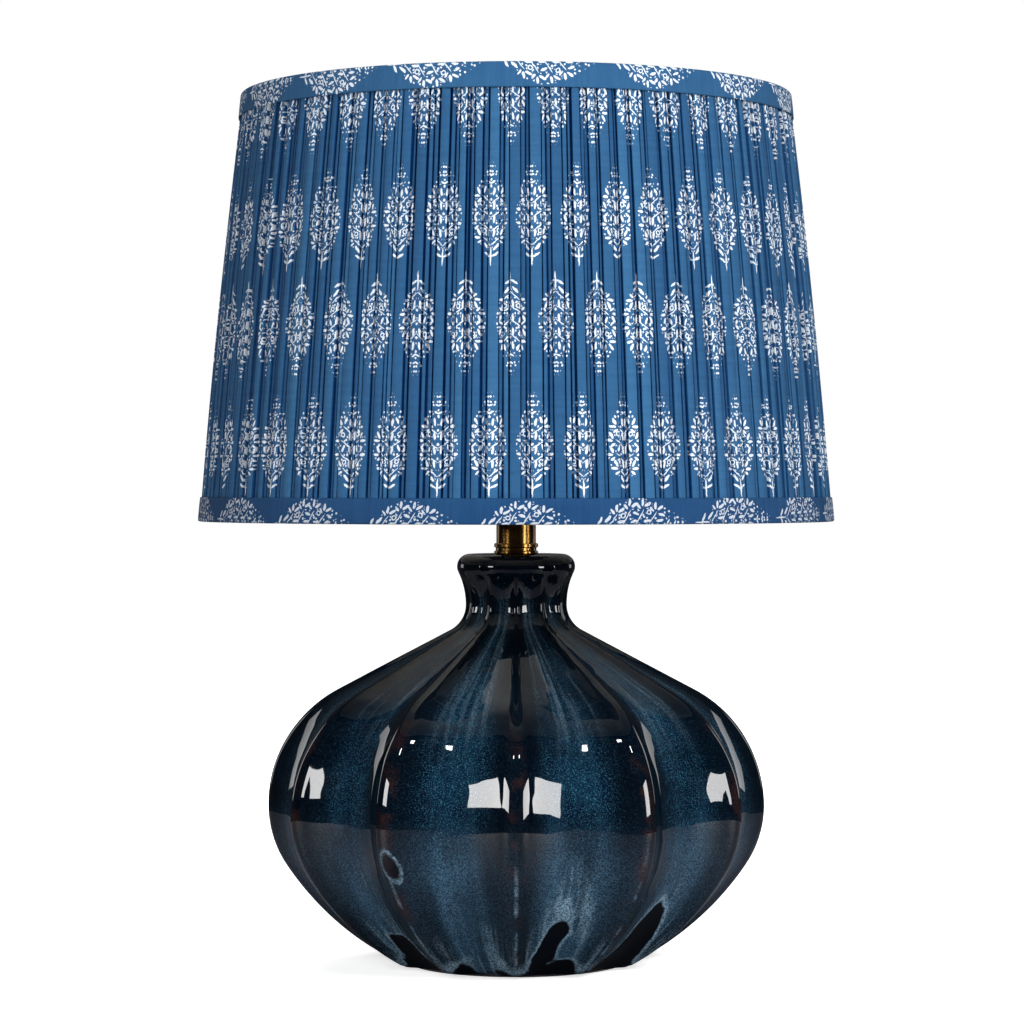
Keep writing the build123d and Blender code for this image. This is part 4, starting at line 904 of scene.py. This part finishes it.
def lining_material():
    """Pale laminated lining with a faint cloth grain and slow unevenness."""
    material, g, shader = new_material("shade_lining", Roughness=0.7)
    place = g.place("Object")
    grain = g.group("Surface grain", Place=place, Scale=1.0)
    threads = g.noise(place, (1500, 1500, 240))
    tone = g.plus(g.times(grain["Cloud"], 0.6), g.times(threads, 0.4))
    g.feed(shader["Base Color"], g.mix(g.ramp(tone, 0.3, 0.7), (0.66, 0.63, 0.58, 1), (0.76, 0.73, 0.68, 1)))
    bump(g, shader, threads, 0.05 * MM, 0.5)
    return material


def plain_material(name, dark, light, metal=0.0, rough=(0.3, 0.5), scale=1.0, relief=0.03, **sockets):
    """Finish from the shared grain: two tones, roughness by cloud and scratches, and a fine relief."""
    material, g, shader = new_material(name, Metallic=metal, **sockets)
    grain = g.group("Surface grain", Place=g.place("Object"), Scale=scale)
    tone = g.plus(g.times(grain["Cloud"], 0.75), g.times(grain["Grain"], 0.25))
    g.feed(shader["Base Color"], g.mix(g.ramp(tone, 0.32, 0.68), rgba(dark), rgba(light)))
    wear = g.plus(g.times(grain["Cloud"], 0.6), g.times(grain["Scratch"], 0.4))
    g.feed(shader["Roughness"], g.line(wear, rough[1] - rough[0], rough[0]))
    bump(g, shader, grain["Grain"], relief * MM, 0.4)
    return material


# Plain finishes: name, two tones, and what the finish needs beside them
FINISHES = {
    "antique_brass": ((0.075, 0.036, 0.008), (0.22, 0.120, 0.033), dict(metal=1.0, rough=(0.16, 0.30))),
    "bright_brass": ((0.50, 0.34, 0.12), (0.70, 0.52, 0.22), dict(metal=1.0, rough=(0.16, 0.36))),
    "zinc_steel": ((0.34, 0.34, 0.33), (0.55, 0.55, 0.53), dict(metal=1.0, rough=(0.28, 0.5))),
    "nickel": ((0.50, 0.48, 0.45), (0.68, 0.66, 0.62), dict(metal=1.0, rough=(0.16, 0.34))),
    "solder": ((0.30, 0.30, 0.31), (0.50, 0.50, 0.52), dict(metal=1.0, rough=(0.35, 0.6))),
    "black_plastic": ((0.010, 0.010, 0.011), (0.024, 0.024, 0.026), dict(rough=(0.35, 0.6), relief=0.05)),
    "rubber": ((0.012, 0.012, 0.012), (0.030, 0.029, 0.028), dict(rough=(0.7, 0.95), relief=0.08)),
    "fibre": ((0.035, 0.027, 0.022), (0.075, 0.060, 0.050), dict(rough=(0.75, 0.95), relief=0.10)),
    "phenolic": ((0.016, 0.011, 0.009), (0.040, 0.028, 0.022), dict(rough=(0.25, 0.5), relief=0.04)),
    "bulb_plastic": ((0.66, 0.66, 0.64), (0.76, 0.76, 0.74), dict(rough=(0.35, 0.5), relief=0.04)),
    "light_plate": ((0.70, 0.66, 0.45), (0.80, 0.77, 0.58), dict(rough=(0.4, 0.6))),
    "frame_wire": ((0.62, 0.60, 0.55), (0.74, 0.72, 0.67), dict(rough=(0.35, 0.55), relief=0.06)),
    "opal": ((0.80, 0.80, 0.77), (0.88, 0.88, 0.86), dict(rough=(0.12, 0.25), Subsurface_Weight=0.3,
                                                           Subsurface_Scale=0.004)),
}


# Stage and operators
FLOOR_RADIUS = 0.66          # the part of the paper that shows in the glaze
PAPER_RADIUS = 9.0
CARD_SIDE = 0.25             # the cards beside the body: distance from the axis, and their span in Y and Z
CARD_SPAN = (-0.166, -0.080)
CARD_HEIGHTS = (0.08, 0.30)


class LAMP_OT_body(bpy.types.Operator):
    """Make the ribbed body in its dark blue glaze"""
    bl_idname = "lamp.body"
    bl_label = "Glazed body"

    def execute(self, context):
        settings = context.scene.lamp_glaze
        points, hole = glazed_body(settings)
        piece = grid_mesh("glazed_body", points, closed=(True, True), keep=~hole)
        line_hole(piece)
        dress(piece, glaze_material(settings), "lamp_base", "glaze", "ceramic_body")
        return {"FINISHED"}


class LAMP_OT_felt(bpy.types.Operator):
    """Make the felt disc under the foot"""
    bl_idname = "lamp.felt"
    bl_label = "Felt"

    def execute(self, context):
        points, area = felt_disc()
        piece = grid_mesh("felt_pad", points, closed=(False, True))
        close_poles(piece)
        dress(piece, felt_material(), "lamp_base", "felt", "base_felt")
        return {"FINISHED"}


class LAMP_OT_cover(bpy.types.Operator):
    """Make the gathered cloth of the shade"""
    bl_idname = "lamp.cover"
    bl_label = "Pleated cover"

    def execute(self, context):
        settings = context.scene.lamp_shade
        points, uv, tone, flat = pleated_cover(settings)
        piece = grid_mesh("pleated_cover", points, closed=(False, True), uv=uv, tone=tone)
        dress(piece, pleat_material(settings), "shade", "print_cotton", "shade_cover")
        return {"FINISHED"}


class LAMP_OT_trims(bpy.types.Operator):
    """Make the bindings folded over the rings of the shade"""
    bl_idname = "lamp.trims"
    bl_label = "Trims"

    def execute(self, context):
        material = binding_material(context.scene.lamp_shade)
        bands = (("lower_trim", SHADE_BASE_Z, 1, "shade_bottom_trim", "shade_bottom_ring"),
                 ("upper_trim", SHADE_TOP_Z, -1, "shade_top_trim", "shade_top_ring"))
        for index, (name, edge, away, node, ring) in enumerate(bands):
            points, uv, flat = trim_band(edge, away, SEED + index)
            piece = grid_mesh(name, points, closed=(False, True), uv=uv)
            dress(piece, material, "shade", "print_cotton", node)
        return {"FINISHED"}


class LAMP_OT_lining(bpy.types.Operator):
    """Make the pale lining inside the shade"""
    bl_idname = "lamp.lining"
    bl_label = "Lining"

    def execute(self, context):
        points, slant, area = lining_wall()
        piece = grid_mesh("pale_lining", points, closed=(True, True))
        dress(piece, lining_material(), "shade", "lining", "shade_lining")
        return {"FINISHED"}


class LAMP_OT_hardware(bpy.types.Operator):
    """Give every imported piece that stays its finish"""
    bl_idname = "lamp.hardware"
    bl_label = "Finishes"

    def execute(self, context):
        made = {}
        for part in frame["record"]["subparts"]:
            slot = part["material_slot"]
            if slot not in FINISHES:
                continue
            if slot not in made:
                dark, light, rest = FINISHES[slot]
                made[slot] = plain_material(slot, dark, light, **rest)
            mesh = frame["nodes"][part["node"]].data
            mesh.materials.clear()
            mesh.materials.append(made[slot])
        return {"FINISHED"}


class LAMP_OT_stage(bpy.types.Operator):
    """Set up the floor, the lights and the camera"""
    bl_idname = "lamp.stage"
    bl_label = "Stage"

    def execute(self, context):
        scene = context.scene
        settings = scene.lamp_stage
        scene.view_settings.view_transform = "Standard"
        scene.view_settings.look = "None"
        self.floor()
        self.cards()
        self.lights(scene)
        data = bpy.data.cameras.new("photo_camera")
        data.lens = settings.lens
        data.sensor_width = 36.0
        data.shift_x = settings.shift_x
        data.shift_y = settings.shift_y
        data.clip_end = 50.0
        camera = bpy.data.objects.new("photo_camera", data)
        camera.location = (0.0, -settings.distance, settings.eye)
        camera.rotation_euler = (math.radians(90), 0.0, 0.0)
        scene.collection.objects.link(camera)
        scene.camera = camera
        return {"FINISHED"}

    def floor(self):
        """Pale paper: a disc that the glaze mirrors and a wide ring round it, which glow to the camera as
        painted light and fade to white outwards.

        Seen from below the paper is clear, so that the foot shows.
        """
        material, g, shader = new_material("pale_paper", Roughness=0.6, Emission_Strength=1.0)
        place = g.place("Object")
        pale = g.mix(g.noise(place, 3.0, 3.0), (0.86, 0.86, 0.86, 1), (0.90, 0.90, 0.90, 1))
        path = g.tree.nodes.new("ShaderNodeLightPath").outputs
        away = g.length(place)
        # painted shadow: the paper as the glaze mirrors it is near black close to the foot, and reflections
        # and bounced light see it darker than the camera does
        mirrored_with_painted_shadow = g.mix(g.ramp(away, 0.08, 0.21), (0.02, 0.02, 0.025, 1), (0.21, 0.20, 0.23, 1))
        dim = g.mix(path["Is Glossy Ray"], (0.26, 0.26, 0.26, 1), mirrored_with_painted_shadow)
        g.feed(shader["Base Color"], g.mix(path["Is Camera Ray"], dim, pale))
        # painted light: to the camera the paper glows, less near the foot, which washes its cast shadow out
        # further away
        glow = g.times(path["Is Camera Ray"], g.line(g.ramp(away, 0.10, 0.45), 0.40, 0.60))
        g.feed(shader["Emission Color"], g.mix(glow, (0, 0, 0, 1), (1.1, 1.1, 1.1, 1)))
        output = g.tree.nodes["Material Output"].inputs["Surface"]
        lit = output.links[0].from_socket
        clear = g.add("ShaderNodeBsdfTransparent")
        below = g.add("ShaderNodeNewGeometry", out="Backfacing")
        g.feed(output, g.add("ShaderNodeMixShader", feeds={0: below, 1: lit, 2: clear}))
        angle = columns_round(FLOOR_COLUMNS)
        for name, inner, outer in (("floor", 0.0, FLOOR_RADIUS), ("paper", FLOOR_RADIUS, PAPER_RADIUS)):
            points = spun(np.linspace(outer, inner, 9)[:, None], angle[None, :], 0.0)
            piece = grid_mesh(name, points, closed=(False, True))
            close_poles(piece)
            piece.data.materials.append(material)
            piece.visible_glossy = name == "floor"

    def cards(self):
        """Dark upright cards, seen only in reflections, that cut the boxes' images in the outer flutes."""
        material, g, shader = new_material("black_card", Roughness=0.9, Specular_IOR_Level=0.0)
        g.feed(shader["Base Color"], (0.0, 0.0, 0.0, 1))
        for name, side in (("left_card", -1), ("right_card", 1)):
            y, z = np.meshgrid(CARD_SPAN, CARD_HEIGHTS)
            piece = grid_mesh(name, np.stack([np.full_like(y, side * CARD_SIDE), y, z], -1))
            piece.data.materials.append(material)
            piece.visible_camera = False
            piece.visible_diffuse = False
            piece.visible_shadow = False

    def lights(self, scene):
        """Soft light for cloth and paper, and boxes, strips and small lamps for the glaze and metal alone."""
        # name, place, height on the axis that it points at, size, power in watts and what it lights
        lamps = (
            ("left_box", (-1.30, -0.70, 0.52), 0.20, (0.84, 0.50), 30.0, "glossy"),
            ("right_box", (1.30, -0.70, 0.44), 0.20, (0.84, 0.58), 33.0, "glossy"),
            ("left_edge", (-1.13, 0.98, 0.50), 0.25, (0.30, 0.80), 1.4, "glossy"),
            ("right_edge", (1.13, 0.98, 0.50), 0.25, (0.30, 0.80), 1.4, "glossy"),
            ("left_spot", (-0.52, -1.15, 1.82), 0.2, (0.14, 0.14), 5.0, "glossy"),
            ("right_spot", (0.52, -1.15, 1.82), 0.2, (0.14, 0.14), 5.0, "glossy"),
            ("left_key", (-1.20, -1.60, 1.45), 0.33, (0.9, 0.7), 19.0, "diffuse"),
            ("right_key", (1.20, -1.60, 1.45), 0.33, (0.9, 0.7), 55.0, "diffuse"),
            ("low_light", (0.0, -1.3, 0.20), 0.06, (1.4, 0.2), 11.0, "diffuse"),
            ("back_key", (0.0, 1.90, 1.50), 0.30, (1.2, 0.8), 40.0, "diffuse"),
        )
        for name, place, aim, size, power, shows in lamps:
            data = bpy.data.lights.new(name, "AREA")
            data.shape = "RECTANGLE"
            data.size, data.size_y = size
            data.energy = power
            lamp = bpy.data.objects.new(name, data)
            lamp.location = place
            lean = math.atan2(math.hypot(place[0], place[1]), place[2] - aim)
            lamp.rotation_euler = (lean, 0.0, math.atan2(place[0], -place[1]))
            lamp.visible_glossy = shows == "glossy"
            lamp.visible_diffuse = shows == "diffuse"
            lamp.visible_camera = False
            scene.collection.objects.link(lamp)
        world = bpy.data.worlds.new("room")
        world.use_nodes = True
        g = Graph(world.node_tree)
        seen = g.add("ShaderNodeLightPath", out="Is Camera Ray")
        room = g.mix(seen, (0.030, 0.032, 0.036, 1), (1, 1, 1, 1))
        g.feed(world.node_tree.nodes["Background"].inputs["Color"], room)
        scene.world = world


class LAMP_PT_panel(bpy.types.Panel):
    """Sizes, colours and steps of the lamp"""
    bl_idname = "LAMP_PT_panel"
    bl_label = "Table lamp"
    bl_space_type = "VIEW_3D"
    bl_region_type = "UI"
    bl_category = "Lamp"

    def draw(self, context):
        for label, group in (("Glaze", context.scene.lamp_glaze), ("Shade", context.scene.lamp_shade),
                             ("Stage", context.scene.lamp_stage)):
            box = self.layout.box()
            box.label(text=label)
            for key in group.bl_rna.properties.keys():
                if key not in ("rna_type", "name"):
                    box.prop(group, key)
        for step in STEPS:
            self.layout.operator(step.bl_idname)


SETTINGS = {"lamp_glaze": GlazeSettings, "lamp_shade": ShadeSettings, "lamp_stage": StageSettings}
STEPS = (LAMP_OT_body, LAMP_OT_felt, LAMP_OT_cover, LAMP_OT_trims, LAMP_OT_lining, LAMP_OT_hardware,
         LAMP_OT_stage)


def register():
    """Adds the settings, the operators and the panel."""
    for name, group in SETTINGS.items():
        bpy.utils.register_class(group)
        setattr(bpy.types.Scene, name, bpy.props.PointerProperty(type=group))
    for step in STEPS:
        bpy.utils.register_class(step)
    bpy.utils.register_class(LAMP_PT_panel)


def unregister():
    """Takes the panel, the operators and the settings away again."""
    bpy.utils.unregister_class(LAMP_PT_panel)
    for step in reversed(STEPS):
        bpy.utils.unregister_class(step)
    for name, group in SETTINGS.items():
        delattr(bpy.types.Scene, name)
        bpy.utils.unregister_class(group)


def main():
    """Builds the lamp step by step."""
    register()
    make_groups()
    bpy.ops.lamp.body()
    bpy.ops.lamp.felt()
    bpy.ops.lamp.cover()
    bpy.ops.lamp.trims()
    bpy.ops.lamp.lining()
    bpy.ops.lamp.hardware()
    bpy.ops.lamp.stage()


if __name__ == "__main__":
    main()
